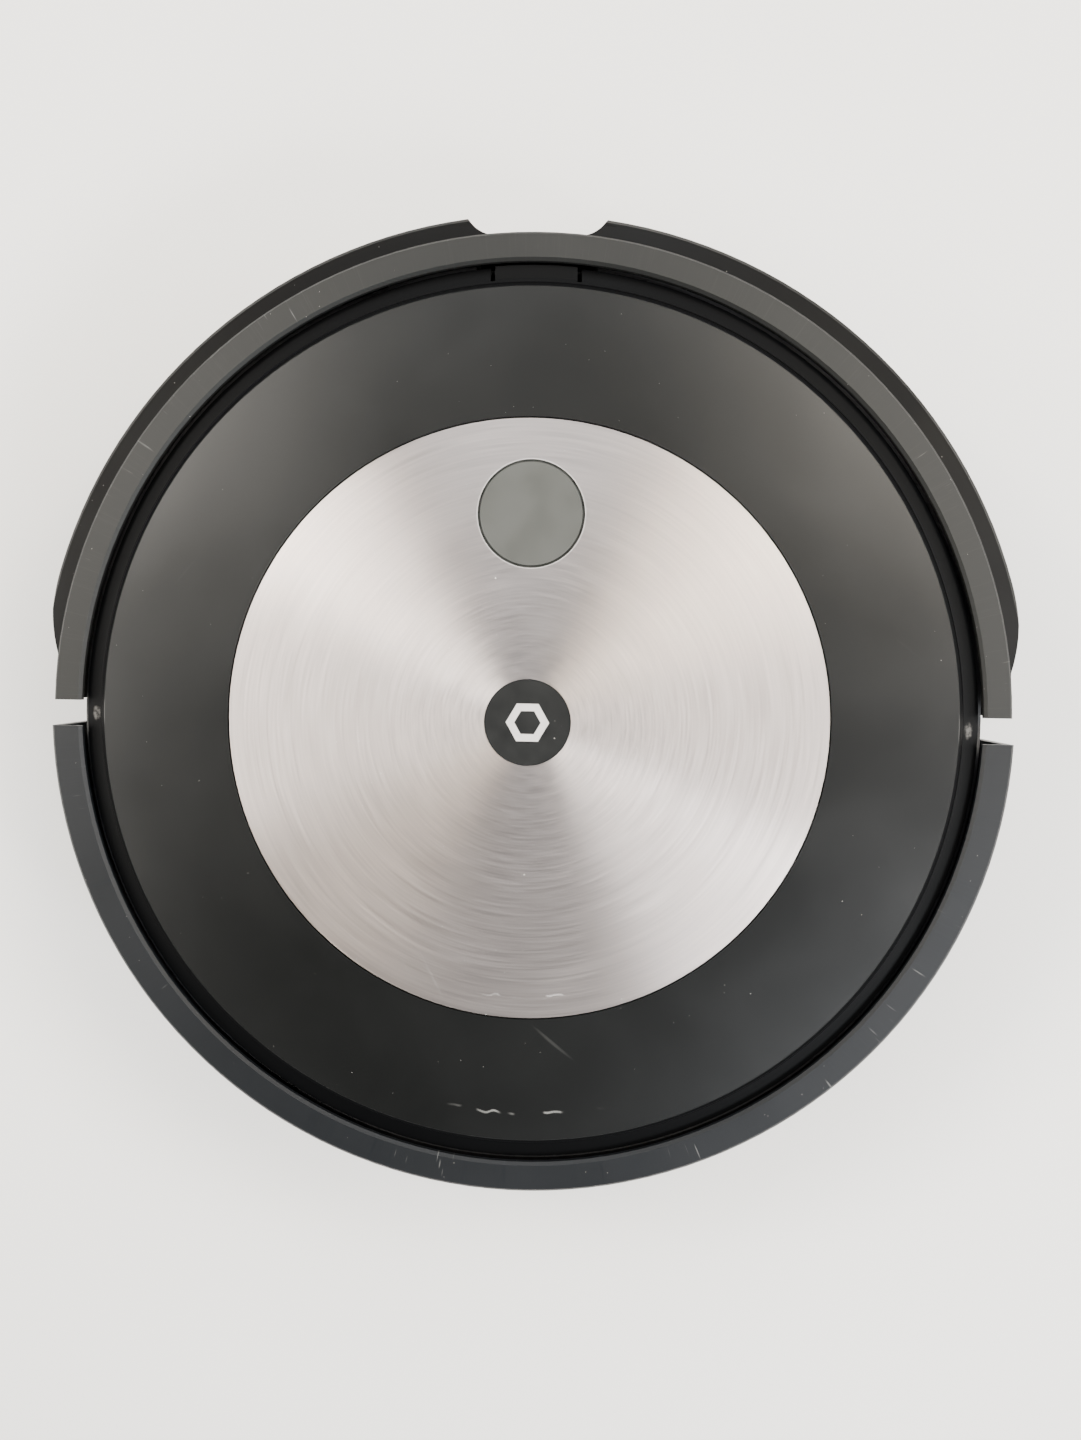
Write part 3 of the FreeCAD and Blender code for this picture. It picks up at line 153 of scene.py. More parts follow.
class Finish:
    """A material in the making, on the piece's own Object coordinates."""

    def __init__(self, name):
        self.material = bpy.data.materials.new(name)
        self.material.use_nodes = True
        self.tree = self.material.node_tree
        self.tree.nodes.clear()
        self.place = self.node("ShaderNodeTexCoord", out="Object")

    def node(self, kind, settings=None, sockets=None, out=0):
        """Any node: its settings first, then the values or wires of its sockets."""
        made = self.tree.nodes.new(kind)
        for name, value in (settings or {}).items():
            setattr(made, name, value)
        for key, value in (sockets or {}).items():
            if isinstance(value, Wire):
                self.tree.links.new(value.socket, made.inputs[key])
            else:
                made.inputs[key].default_value = value
        return Wire(self, made.outputs[out])

    def maths(self, operation, *values):
        return self.node("ShaderNodeMath", {"operation": operation}, dict(enumerate(values)))

    def split(self, vector=None):
        """The x, y and z of a vector."""
        source = {0: vector or self.place}
        return [self.node("ShaderNodeSeparateXYZ", None, source, axis) for axis in range(3)]

    def vector(self, x, y, z):
        return self.node("ShaderNodeCombineXYZ", None, {0: x, 1: y, 2: z})

    def noise(self, scale, detail=3.0, where=None, warp=0.0):
        return self.node("ShaderNodeTexNoise", None, {
            "Vector": where or self.place, "Scale": scale, "Detail": detail, "Distortion": warp})

    def lines(self, along, scale, detail=2.0):
        """Noise that changes with one number only, for brushing and grooves."""
        return self.node("ShaderNodeTexNoise", {"noise_dimensions": "1D"}, {
            "W": along, "Scale": scale, "Detail": detail})

    def fade(self, value, low, high, start=0.0, end=1.0):
        """Runs smoothly from start to end while value runs from low to high."""
        return self.node("ShaderNodeMapRange", {"interpolation_type": "SMOOTHSTEP"}, {
            "Value": value, "From Min": low, "From Max": high, "To Min": start, "To Max": end})

    def tint(self, share, first, second):
        return self.node("ShaderNodeMix", {"data_type": "RGBA"}, {0: share, 6: first, 7: second}, 2)

    def cells(self, scale, out="Distance", where=None):
        return self.node("ShaderNodeTexVoronoi", None, {"Vector": where or self.place, "Scale": scale}, out)

    def specks(self, scale, size, share):
        """Scattered spots: size is their width and share the part of the cells that hold one."""
        picked = self.split(self.cells(scale, "Color"))[0] < share
        return self.fade(self.cells(scale), size, size * 0.5) * picked

    def strokes(self, scale, stretch, turn, share):
        """Sparse straight scratches that run along one direction."""
        laid = self.node("ShaderNodeMapping", {"vector_type": "TEXTURE"}, {
            "Vector": self.place, "Rotation": (0, 0, turn), "Scale": (1.0, stretch, 1.0)})
        return self.fade(self.noise(scale, 1.0, laid), 1.0 - share, 1.06 - share)

    def bump(self, height, depth, under=None):
        sockets = {"Strength": 1.0, "Distance": depth, "Height": height}
        if under:
            sockets["Normal"] = under
        return self.node("ShaderNodeBump", None, sockets)

    def surface(self, sockets, other=None, share=0.0):
        """The Principled shader, a second one where share is 1 if the finish has two, and the output."""
        shader = self.node("ShaderNodeBsdfPrincipled", None, sockets)
        if other:
            second = self.node("ShaderNodeBsdfPrincipled", None, other)
            shader = self.node("ShaderNodeMixShader", None, {0: share, 1: shader, 2: second})
        output = self.tree.nodes.new("ShaderNodeOutputMaterial")
        self.tree.links.new(shader.socket, output.inputs["Surface"])
        return self.material


def shade(colour, share):
    """The same colour lighter or darker."""
    return (colour[0] * share, colour[1] * share, colour[2] * share, 1)


def moulded(name, colour, rough=0.5, grain=0.02, grain_size=0.45, dust=0.0, coat=0.0, gloss=0.5):
    """Moulded plastic: a spark-eroded grain, slight unevenness of colour and a little dust."""
    f = Finish(name)
    cloud = f.noise(34.0, 4.0)
    grain_height = f.noise(1 / (grain_size * MM), 2.0)
    flow = f.noise(9.0, 2.0, warp=0.6)
    colour_mix = f.tint(cloud, shade(colour, 0.86), shade(colour, 1.14))
    colour_mix = f.tint(f.specks(480.0, 0.12, 0.10) * dust, colour_mix, DUST)
    return f.surface({
        "Base Color": colour_mix,
        "Roughness": f.fade(flow + cloud, 0.7, 1.3, rough - 0.06, rough + 0.07),
        "Specular IOR Level": gloss,
        "Coat Weight": coat,
        "Coat Roughness": 0.12,
        "Normal": f.bump(grain_height, grain * MM)})


def worn_metal(name, colour, rough=0.3, metallic=1.0, grain=0.01):
    """Drawn or turned metal with fine marks and a dull bloom."""
    f = Finish(name)
    bloom = f.noise(160.0, 4.0)
    marks = f.noise(900.0, 2.0, f.node("ShaderNodeMapping", None, {
        "Vector": f.place, "Scale": (1.0, 1.0, 0.12)}))
    return f.surface({
        "Base Color": f.tint(bloom, shade(colour, 0.8), shade(colour, 1.08)),
        "Metallic": metallic,
        "Roughness": f.fade(bloom + marks, 0.7, 1.35, rough - 0.08, rough + 0.14),
        "Normal": f.bump(marks, grain * MM)})


def rubber(name, colour, rough=0.72, dust=0.35):
    """Matt rubber with ground-in dust in patches."""
    f = Finish(name)
    cloud = f.noise(60.0, 5.0)
    fine = f.noise(1500.0, 3.0)
    base = f.tint(f.fade(cloud, 0.45, 0.72) * dust, shade(colour, 1.0), shade(DUST, 0.42))
    return f.surface({
        "Base Color": base,
        "Roughness": f.fade(cloud, 0.3, 0.7, rough - 0.08, rough + 0.1),
        "Specular IOR Level": 0.35,
        "Normal": f.bump(fine, 0.03 * MM)})


def around(f):
    """Distance from the upright axis, and the direction as a point on a circle, so that no seam shows."""
    x, y, z = f.split()
    radius = (x * x + y * y) ** 0.5
    return x, y, z, radius, x / radius, y / radius


def scrape(f, x, y, radius, centre, wide, thick):
    """Short pale scrapes strung along an arc round the centre, such as a foot or a door edge leaves."""
    reach = (centre[0] ** 2 + centre[1] ** 2) ** 0.5
    wander = (f.lines(x, 120.0, 1.0) - 0.5) * 0.0042
    band = f.fade(f.maths("ABSOLUTE", radius - reach - wander), thick, thick * 0.1)
    broken = f.fade(f.lines(x + 0.3, 95.0, 1.0), 0.50, 0.62)
    return band * broken * spot(f, x, y, centre, wide, 0.02)


def spot(f, x, y, centre, wide, long):
    """A soft patch, 1 in its middle, at a place given in metres."""
    dx = (x - centre[0]) / wide
    dy = (y - centre[1]) / long
    return f.fade((dx * dx + dy * dy) ** 0.5, 1.0, 0.2)


# ------------------------------------------------------- finishes seen from above
def brushed_disc(look):
    """Circular brushing round the centre, a painted highlight as a bright line round the button's hole, and
    scuffs ahead of the bin.
    """
    f = Finish("circular brushed metal")
    x, y, _, radius, across, along = around(f)
    broken = f.noise(1.0, 4.0, f.vector(radius * 1300.0, across * 3.0, along * 3.0))
    rings = f.lines(radius, 620.0, 3.0)
    wide = f.lines(radius, 90.0, 2.0)
    cloud = f.noise(16.0, 3.0)
    scuffs = scrape(f, x, y, radius, (-0.003, 0.0950), 0.024, 0.0006)
    fine_scratches = f.strokes(420.0, 22.0, 0.5, 0.30) * f.fade(f.noise(12.0, 2.0), 0.5, 0.65)
    marks = f.fade(scuffs + fine_scratches * 0.4, 0.0, 1.0)
    dust = f.specks(260.0, 0.07, 0.06) + f.specks(640.0, 0.11, 0.05)
    metal = f.tint(broken * 0.7 + rings * 0.3, shade(look.disc_tint, 0.80), shade(look.disc_tint, 1.18))
    hole_low, hole_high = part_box("light_ring")
    hole = (hole_low + hole_high) / 2
    away = ((x - hole.x) ** 2.0 + (y - hole.y) ** 2.0) ** 0.5 - (hole_high.x - hole_low.x) / 2
    # Painted highlight: a near-white, less metallic line painted round the button's hole where its edge
    # would catch the light.
    painted_rim_highlight = f.fade(away, 0.50 * MM, 0.25 * MM)
    metal = f.tint(painted_rim_highlight * 0.5, metal, PAINTED_HIGHLIGHT)
    metal = f.tint(marks * 0.5, metal, SCUFF_PALE)
    metal = f.tint(f.fade(dust, 0.2, 0.8) * 0.75, metal, DISC_DUST)
    return f.surface({
        "Base Color": metal,
        "Metallic": 1.0 - f.fade(dust, 0.2, 0.8) * 0.8 - painted_rim_highlight * 0.25,
        "Roughness": look.disc_rough + (broken - 0.5) * 0.12 + (cloud - 0.5) * 0.08 + (wide - 0.5) * 0.02
        + marks * 0.14,
        "Anisotropic": look.disc_stretch,
        "Anisotropic Rotation": 0.25,
        "Normal": f.bump(broken * 0.6 + rings * 0.4, 0.0034 * MM)})


def cover_black(look):
    """Satin black moulding with rub marks; its outer slope is painted near black with almost no gloss as
    painted shade of the groove, with lint.
    """
    f = Finish("satin black moulding")
    x, y, _, radius, _, _ = around(f)
    cloud = f.noise(20.0, 4.0, warp=0.4)
    grain = f.noise(2400.0, 2.0)
    rubbed = scrape(f, x, y, radius, (-0.001, 0.1365), 0.030, 0.0006)
    hair = (f.strokes(300.0, 20.0, -0.7, 0.27) + f.strokes(280.0, 16.0, 0.9, 0.27)) * f.fade(
        f.noise(14.0, 1.0), 0.54, 0.66)
    # Painted shade: past this radius the outer slope gets a second, near-black and almost glossless finish
    # standing for the shadow down in the groove.
    cover_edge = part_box("top_cover")[1].x - COVER_SLOPE
    painted_groove_shade = f.fade(radius, cover_edge - 0.25 * MM, cover_edge + 0.25 * MM)
    dust = f.specks(330.0, 0.07, 0.016) + f.specks(760.0, 0.10, 0.02)
    seams = sum(spot(f, x, y, (side * SEAM_X, 0.0), 3.0 * MM, 5.2 * MM) for side in (1, -1))
    lint = f.fade(seams * f.noise(900.0, 4.0), 0.22, 0.70) * 0.32
    base = f.tint(cloud, shade(look.cover_tint, 0.75), shade(look.cover_tint, 1.3))
    base = f.tint(rubbed * 0.6 + hair * 0.07, base, RUBBED)
    base = f.tint(f.fade(dust, 0.2, 0.8) * 0.55, base, DUST)
    return f.surface({
        "Base Color": base,
        "Roughness": look.cover_rough + (cloud - 0.5) * 0.10 + rubbed * 0.15 + f.fade(dust, 0.2, 0.8) * 0.2,
        "Specular IOR Level": 0.48,
        "Normal": f.bump(grain, 0.006 * MM)
    }, {
        # Second finish: the painted groove shade, with real lint at the seams.
        "Base Color": f.tint(lint, shade(look.groove_shade_tint, 1.0), shade(DUST, 0.55)),
        "Roughness": 0.55 + (cloud - 0.5) * 0.2 + lint * 0.3,
        "Specular IOR Level": 0.06,
        "Normal": f.bump(grain, 0.006 * MM)
    }, painted_groove_shade)


def ring_plastic(name, colour, rough, frost):
    """Matt plastic with fine radial scratches, a few deeper nicks on its top face, and dust."""
    f = Finish(name)
    _, _, z, radius, across, along = around(f)
    spokes = f.noise(1.0, 3.0, f.vector(across * 210.0, along * 210.0, radius * 22.0))
    fine = f.noise(1.0, 2.0, f.vector(across * 620.0, along * 620.0, radius * 60.0))
    cloud = f.noise(26.0, 4.0)
    grain = f.noise(1900.0, 2.0)
    scratch = f.fade(spokes * 0.55 + fine * 0.45, 0.54, 0.66)
    nicks = f.noise(1.0, 1.0, f.vector(across * 150.0, along * 150.0, radius * 70.0))
    nicks = f.fade(nicks, 0.73, 0.80) * f.fade(cloud, 0.46, 0.60)
    nicks = nicks * f.fade(z, RING_FACE_FROM, RING_FACE_TO)
    dust = f.fade(f.specks(560.0, 0.10, 0.02) + f.specks(900.0, 0.12, 0.03), 0.2, 0.8)
    base = f.tint(cloud, shade(colour, 0.82), shade(colour, 1.2))
    base = f.tint(scratch * frost, base, shade(colour, 2.6))
    base = f.tint(nicks * 0.5, base, NICK_PALE)
    base = f.tint(dust * 0.5, base, DUST)
    return f.surface({
        "Base Color": base,
        "Roughness": rough + (cloud - 0.5) * 0.14 - scratch * 0.10 + dust * 0.1,
        "Specular IOR Level": 0.24,
        "Normal": f.bump(grain * 0.5 + fine * 0.5, 0.016 * MM)})


def cap_charcoal(look):
    """Dark moulded cap whose plain hexagon outline is pale metal."""
    f = Finish("charcoal cap with a metal hexagon")
    x, y, _ = f.split()
    reach = None
    for turn in (30, 90, 150):
        wall = f.maths("ABSOLUTE", x * math.cos(math.radians(turn)) + y * math.sin(math.radians(turn)))
        reach = f.maths("MAXIMUM", reach, wall) if reach else wall
    outline = look.mark_size * math.cos(math.radians(30))
    mark = f.fade(reach, outline * 1.03, outline * 0.99) * f.fade(reach, outline * 0.60, outline * 0.64)
    cloud = f.noise(180.0, 3.0)
    grain = f.noise(2600.0, 2.0)
    dust = f.fade(f.specks(420.0, 0.12, 0.10), 0.2, 0.8)
    base = f.tint(cloud, shade(look.cap_tint, 0.85), shade(look.cap_tint, 1.15))
    base = f.tint(mark, base, MARK_METAL)
    base = f.tint(dust * 0.5, base, DUST)
    return f.surface({
        "Base Color": base,
        "Metallic": mark * 0.45,
        "Roughness": 0.42 + (cloud - 0.5) * 0.14 + mark * 0.10,
        "Specular IOR Level": 0.28,
        "Normal": f.bump(grain, 0.006 * MM)})


def soft_button(name, colour):
    """Silky key top: even colour, finely frosted, with a little dust."""
    f = Finish(name)
    cloud = f.noise(70.0, 3.0)
    grain = f.noise(3100.0, 2.0)
    dust = f.fade(f.specks(420.0, 0.13, 0.10), 0.2, 0.8)
    base = f.tint(dust * 0.5, f.tint(cloud, shade(colour, 0.93), shade(colour, 1.07)), DUST)
    return f.surface({
        "Base Color": base,
        "Roughness": f.fade(cloud, 0.3, 0.7, 0.44, 0.58),
        "Normal": f.bump(grain, 0.006 * MM)})


def dark_glass(name, colour=(0.008, 0.0065, 0.0075), bloom=0.12):
    """Infrared window: almost black and smooth, with a faint bloom of fingerprints."""
    f = Finish(name)
    smear = f.noise(55.0, 4.0, warp=0.8)
    return f.surface({
        "Base Color": f.tint(smear, shade(colour, 0.7), shade(colour, 1.4)),
        "Roughness": f.fade(smear, 0.35, 0.75, 0.08, 0.08 + bloom),
        "IOR": 1.52,
        "Specular IOR Level": 0.11,
        "Normal": f.bump(f.noise(240.0, 2.0), 0.004 * MM)})


def light_guide():
    """Smoked light guide round the button, unlit."""
    f = Finish("smoked light guide")
    cloud = f.noise(300.0, 3.0)
    return f.surface({
        "Base Color": f.tint(cloud, (0.010, 0.011, 0.010, 1), (0.020, 0.021, 0.019, 1)),
        "Roughness": f.fade(cloud, 0.3, 0.7, 0.25, 0.4),
        "Normal": f.bump(f.noise(2000.0, 2.0), 0.004 * MM)})


def circuit_board():
    """Green solder mask with copper tracks and pale pads."""
    f = Finish("circuit board")
    cell = f.cells(190.0, "Color")
    track = f.node("ShaderNodeTexBrick", {"offset": 0.5}, {
        "Vector": f.place, "Scale": 260.0, "Mortar Size": 0.06, "Mortar Smooth": 0.3})
    pads = f.specks(230.0, 0.2, 0.35)
    grey = f.split(cell)[1]
    base = f.tint(f.node("ShaderNodeSeparateColor", None, {0: track}) * 0.6,
                  (0.006, 0.055, 0.030, 1), (0.012, 0.115, 0.060, 1))
    base = f.tint(pads * 0.9, base, (0.62, 0.60, 0.52, 1))
    return f.surface({
        "Base Color": base,
        "Metallic": pads,
        "Roughness": 0.30 + grey * 0.12,
        "Normal": f.bump(pads, 0.05 * MM)})


def smoked_bin(look):
    """Smoke-grey dust bin, dark because it is closed and full of shadow, with faint handling marks."""
    f = Finish("smoked plastic with painted shade")
    cloud = f.noise(24.0, 3.0)
    handled = f.noise(70.0, 4.0, warp=0.5)
    # The bin's colour is partly its own smoke grey and partly painted shade for the dark inside of the
    # closed bin.
    base = f.tint(cloud, shade(look.bin_tint_and_shade, 0.88), shade(look.bin_tint_and_shade, 1.12))
    return f.surface({
        "Base Color": f.tint(f.fade(handled, 0.50, 0.80) * 0.010, base, shade(DUST, 0.5)),
        "Roughness": f.fade(handled, 0.2, 0.8, 0.30, 0.34),
        "IOR": 1.5,
        "Specular IOR Level": 0.17,
        "Normal": f.bump(f.noise(1900.0, 2.0), 0.004 * MM)})


def pleated_paper():
    """Pale filter paper with loose fibres and patches of grey dust."""
    f = Finish("filter paper")
    fibre = f.noise(1.0, 4.0, f.node("ShaderNodeMapping", None, {
        "Vector": f.place, "Scale": (900.0, 900.0, 180.0)}))
    cloud = f.noise(90.0, 3.0)
    base = f.tint(fibre, (0.62, 0.62, 0.58, 1), (0.80, 0.80, 0.76, 1))
    return f.surface({
        "Base Color": f.tint(f.fade(cloud, 0.45, 0.7) * 0.4, base, (0.30, 0.29, 0.27, 1)),
        "Roughness": f.fade(fibre, 0.3, 0.7, 0.82, 0.95),
        "Normal": f.bump(fibre, 0.06 * MM)})


def nylon(name, colour):
    """Glossy extruded nylon for bristles."""
    f = Finish(name)
    cloud = f.noise(420.0, 2.0)
    return f.surface({
        "Base Color": f.tint(cloud, shade(colour, 0.75), shade(colour, 1.3)),
        "Roughness": f.fade(cloud, 0.3, 0.7, 0.28, 0.42),
        "Normal": f.bump(f.noise(2600.0, 1.0), 0.004 * MM)})


def paint(node, material):
    """Gives a node of the frame its finish, through the slots it has."""
    owner = frame["nodes"][node]
    if owner.material_slots:
        for held in owner.material_slots:
            held.material = material
    else:
        owner.data.materials.append(material)


def paint_slots(finishes):
    """Gives every node of the frame that names one of these slots the finish of that slot."""
    for row in frame["record"]["subparts"]:
        if row["material_slot"] in finishes:
            paint(row["node"], finishes[row["material_slot"]])


# ---------------------------------------------------------------- fine pieces
def piece(name, bm, material, body, stands_for=(), sharp=35.0):
    """Closes the mesh up, turns its faces out and hands it over as a finished piece."""
    bmesh.ops.remove_doubles(bm, verts=bm.verts, dist=0.004 * MM)
    bmesh.ops.recalc_face_normals(bm, faces=bm.faces)
    mesh = bpy.data.meshes.new(name)
    bm.to_mesh(mesh)
    bm.free()
    mesh.materials.append(material)
    mesh.shade_smooth()
    mesh.set_sharp_from_angle(angle=math.radians(sharp))
    made = bpy.data.objects.new(name, mesh)
    bpy.context.scene.collection.objects.link(made)
    if body:
        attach(made, body)
    if stands_for:
        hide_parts(*stands_for)
    return made


def moved(bm, verts, place):
    bmesh.ops.transform(bm, matrix=place, verts=verts)


def ring_of(bm, corners, axis, centre, steps):
    """Spins a closed outline, given as corner points, right round an axis."""
    verts = [bm.verts.new(corner) for corner in corners]
    edges = [bm.edges.new((verts[i - 1], verts[i])) for i in range(len(verts))]
    bmesh.ops.spin(bm, geom=verts + edges, cent=centre, axis=axis, dvec=(0, 0, 0),
                   angle=math.tau, steps=steps, use_merge=True)


def make_tyre(side, sizes, material):
    """Moulded tyre: a crowned carcass with two rows of slanted lugs and a middle rib."""
    node = f"wheel_tyre_{side}"
    low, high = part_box(node)
    centre = (low + high) / 2
    outer = (high.z - low.z) / 2
    tread = sizes.tread_depth
    bore = outer - sizes.thickness
    half = (high.x - low.x) / 2
    bm = bmesh.new()
    soft = 1.2 * MM
    shoulder = 1.6 * MM
    edge_round = 0.35 * MM
    lug_inset = 0.17 * MM
    outline = [
        (-half, bore), (-half, outer - tread - soft), (-half + soft, outer - tread),
        (half - soft, outer - tread), (half, outer - tread - soft), (half, bore)]
    ring_of(bm, [(centre.x + along, centre.y, centre.z + rise) for along, rise in outline],
            ACROSS, centre, SPINDLE_STEPS)
    rib = [(-0.9 * MM, outer - tread * 1.4), (-0.7 * MM, outer - 0.3 * MM), (0.7 * MM, outer - 0.3 * MM),
           (0.9 * MM, outer - tread * 1.4)]
    ring_of(bm, [(centre.x + along, centre.y, centre.z + rise) for along, rise in rib],
            ACROSS, centre, SPINDLE_STEPS)
    pitch = math.tau / sizes.lugs
    for row in (-1, 1):
        lug = bmesh.ops.create_cube(bm, size=1.0)["verts"]
        long = half - shoulder
        moved(bm, lug, Matrix.Diagonal((long, outer * pitch * 0.52, tread * 1.5, 1)))
        top = [edge for edge in {edge for vert in lug for edge in vert.link_edges}
               if all(vert.co.z > 0 for vert in edge.verts)]
        bmesh.ops.bevel(bm, geom=top, offset=edge_round, affect="EDGES", segments=2, profile=0.5,
                        material=-1)
        lug = [vert for vert in bm.verts if abs(vert.co.x) < long and abs(vert.co.y) < outer * pitch
               and abs(vert.co.z) < tread]
        for vert in lug:
            vert.co.y += row * vert.co.x * sizes.slant
        reach = outer - tread * 0.75 - lug_inset
        start = pitch / 2 if row > 0 else 0.0
        place = (Matrix.Translation(centre) @ Matrix.Rotation(start, 4, ACROSS)
                 @ Matrix.Translation((row * (half - long / 2 - edge_round), 0, reach)))
        moved(bm, lug, place)
        faces = list({face for vert in lug for face in vert.link_faces})
        edges = list({edge for vert in lug for edge in vert.link_edges})
        bmesh.ops.spin(bm, geom=lug + edges + faces, cent=centre, axis=ACROSS, dvec=(0, 0, 0),
                       angle=math.tau - pitch, steps=sizes.lugs - 1, use_duplicate=True)
    return piece(f"{side}_tyre_tread", bm, material, f"{side}_wheel", [node])


def make_bristles(sizes, material):
    """Three tufts of thin nylon strands that fan out from the hub and trail a little."""
    hub_low, hub_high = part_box("side_brush_hub")
    low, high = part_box("side_brush_bristles")
    axis = (hub_low + hub_high) / 2
    outward = math.atan2(axis.y, axis.x)
    reach = sizes.reach
    root = 9.5 * MM
    layer_depth = 1.2 * MM
    spread = 2.1 * MM
    trail = 1.6 * MM
    hub_face = high.z - 2.2 * MM
    drop = (high.z - 2.0 * MM) - (low.z + 0.35 * MM)
    taper = 0.45
    rng = random.Random(11)
    bm = bmesh.new()
    for tuft in range(3):
        heading = outward + math.radians(60 + 120 * tuft)
        for _ in range(sizes.strands):
            across = rng.uniform(-1, 1)
            layer = rng.uniform(0, 1)
            made = bmesh.ops.create_circle(bm, cap_ends=True, segments=5, radius=sizes.strand)
            start = made["verts"]
            length = reach * rng.uniform(0.93, 1.0) - root
            face = start[0].link_faces[0]
            shape = list(start)
            steps = 5
            for _ in range(steps):
                grown = bmesh.ops.extrude_face_region(bm, geom=[face])["geom"]
                verts = [part for part in grown if isinstance(part, bmesh.types.BMVert)]
                bmesh.ops.translate(bm, verts=verts, vec=(0, 0, length / steps))
                face = [part for part in grown if isinstance(part, bmesh.types.BMFace)][0]
                shape += verts
            droop = drop - layer * layer_depth
            fan = across * sizes.fan + rng.uniform(-0.01, 0.01)
            for vert in shape:
                run = vert.co.z / length
                side = vert.co.x * (1 - taper * run)
                rise = vert.co.y * (1 - taper * run)
                vert.co = Vector((
                    root + vert.co.z,
                    side + across * spread + fan * run * run * length - trail * run * run,
                    hub_face + layer * layer_depth + rise - droop * run ** 1.4))
            moved(bm, shape, Matrix.Translation((axis.x, axis.y, 0)) @ Matrix.Rotation(heading, 4, UP))
    return piece("side_brush_tufts", bm, material, "side_brush", ["side_brush_bristles"], 60.0)


def make_roller_sleeve(which, sizes, material):
    """Rubber sleeve with chevron fins whose roots are filleted and whose edges are rounded."""
    node = f"{which}_roller_rubber"
    low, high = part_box(node)
    centre = (low + high) / 2
    outer = max(high.y - low.y, high.z - low.z) / 2
    bore = sizes.core + 0.1 * MM
    skin = sizes.skin
    half = (high.x - low.x) / 2
    chamfer = 0.6 * MM
    sunk = 1.0 * MM
    fin_width = 2.6 * MM
    fin_zone = 2 * MM
    bm = bmesh.new()
    outline = [(-half, bore), (-half, skin - chamfer), (-half + chamfer, skin), (half - chamfer, skin),
               (half, skin - chamfer), (half, bore)]
    ring_of(bm, [(centre.x + along, centre.y, centre.z + rise) for along, rise in outline],
            ACROSS, centre, SLEEVE_STEPS)
    hand = 1 if which == "front" else -1
    fin = bmesh.ops.create_cube(bm, size=1.0)["verts"]
    moved(bm, fin, Matrix.Diagonal((2 * half - 1.0 * MM, fin_width, outer - skin + sunk, 1)))
    edges = {edge for vert in fin for edge in vert.link_edges}
    top = [edge for edge in edges if all(vert.co.z > 0 for vert in edge.verts)]
    bmesh.ops.bevel(bm, geom=top, offset=0.9 * MM, affect="EDGES", segments=3, profile=0.5, material=-1)
    loose = [vert for vert in bm.verts if abs(vert.co.y) < fin_zone and abs(vert.co.z) < outer - skin]
    long_edges = [edge for edge in {edge for vert in loose for edge in vert.link_edges}
                  if edge.calc_length() > half]
    bmesh.ops.subdivide_edges(bm, edges=long_edges, cuts=36, use_grid_fill=True)
    fin = [vert for vert in bm.verts if abs(vert.co.y) < fin_zone and abs(vert.co.z) < outer - skin]
    middle = (skin - sunk + outer) / 2
    for vert in fin:
        flare = 1.0 + 0.5 * max(0.0, -vert.co.z / (outer - skin)) ** 2
        sweep = hand * sizes.sweep * abs(vert.co.x) / half
        radial = middle + vert.co.z
        angle = vert.co.y * flare / radial + sweep
        vert.co = centre + Vector((vert.co.x, math.sin(angle) * radial, math.cos(angle) * radial))
    faces = list({face for vert in fin for face in vert.link_faces})
    edges = list({edge for vert in fin for edge in vert.link_edges})
    turn = math.tau / sizes.fins
    bmesh.ops.spin(bm, geom=fin + edges + faces, cent=centre, axis=ACROSS, dvec=(0, 0, 0),
                   angle=math.tau - turn, steps=sizes.fins - 1, use_duplicate=True)
    return piece(f"{which}_roller_sleeve", bm, material, f"{which}_roller", [node])


def make_filter(sizes, paper, plastic):
    """Pleated paper panel in a moulded frame."""
    low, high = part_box("bin_filter")
    centre = (low + high) / 2
    size = high - low
    border = 2.0 * MM
    bm = bmesh.new()
    box = bmesh.ops.create_cube(bm, size=1.0)["verts"]
    moved(bm, box, Matrix.Translation(centre) @ Matrix.Diagonal((size.x, size.y, size.z, 1)))
    wide = [face for face in bm.faces if abs(face.normal.x) > 0.9]
    bmesh.ops.inset_individual(bm, faces=wide, thickness=border)
    rims = [list(face.edges) for face in wide]
    bmesh.ops.delete(bm, geom=wide, context="FACES_ONLY")
    bmesh.ops.bridge_loops(bm, edges=rims[0] + rims[1])
    rounded = [edge for edge in bm.edges if edge.is_manifold and edge.calc_face_angle() > 1.0]
    bmesh.ops.bevel(bm, geom=rounded, offset=0.3 * MM, affect="EDGES", segments=2, profile=0.5, material=-1)
    piece("filter_frame", bm, plastic, "dust_bin", ["bin_filter"])
    bm = bmesh.new()
    folds = sizes.pleats * 2
    sheet = bmesh.ops.create_grid(bm, x_segments=folds, y_segments=2, size=0.5)["verts"]
    moved(bm, sheet, Matrix.Diagonal((size.y - 2 * border, size.z - 2 * border, 1, 1)))
    columns = sorted({round(vert.co.x, 6) for vert in sheet})
    for vert in sheet:
        fold = columns.index(round(vert.co.x, 6)) % 2
        vert.co = centre + Vector(((fold - 0.5) * (size.x - 1.6 * MM), vert.co.x, vert.co.y))
    bmesh.ops.recalc_face_normals(bm, faces=bm.faces)
    bmesh.ops.solidify(bm, geom=list(bm.faces), thickness=0.35 * MM)
    piece("filter_pleats", bm, paper, "dust_bin", (), 20.0)


def spring_box(side, ahead):
    """Corners of one of the four springs, read from the node that holds them all."""
    split = cad_box[0].y * BUMPER_SPRINGS_FROM
    points = [vert.co for vert in frame["nodes"]["return_springs"].data.vertices
              if vert.co.x * side > 0 and (vert.co.y < split) == ahead]
    low = Vector([min(point[axis] for point in points) for axis in range(3)])
    high = Vector([max(point[axis] for point in points) for axis in range(3)])
    return low, high


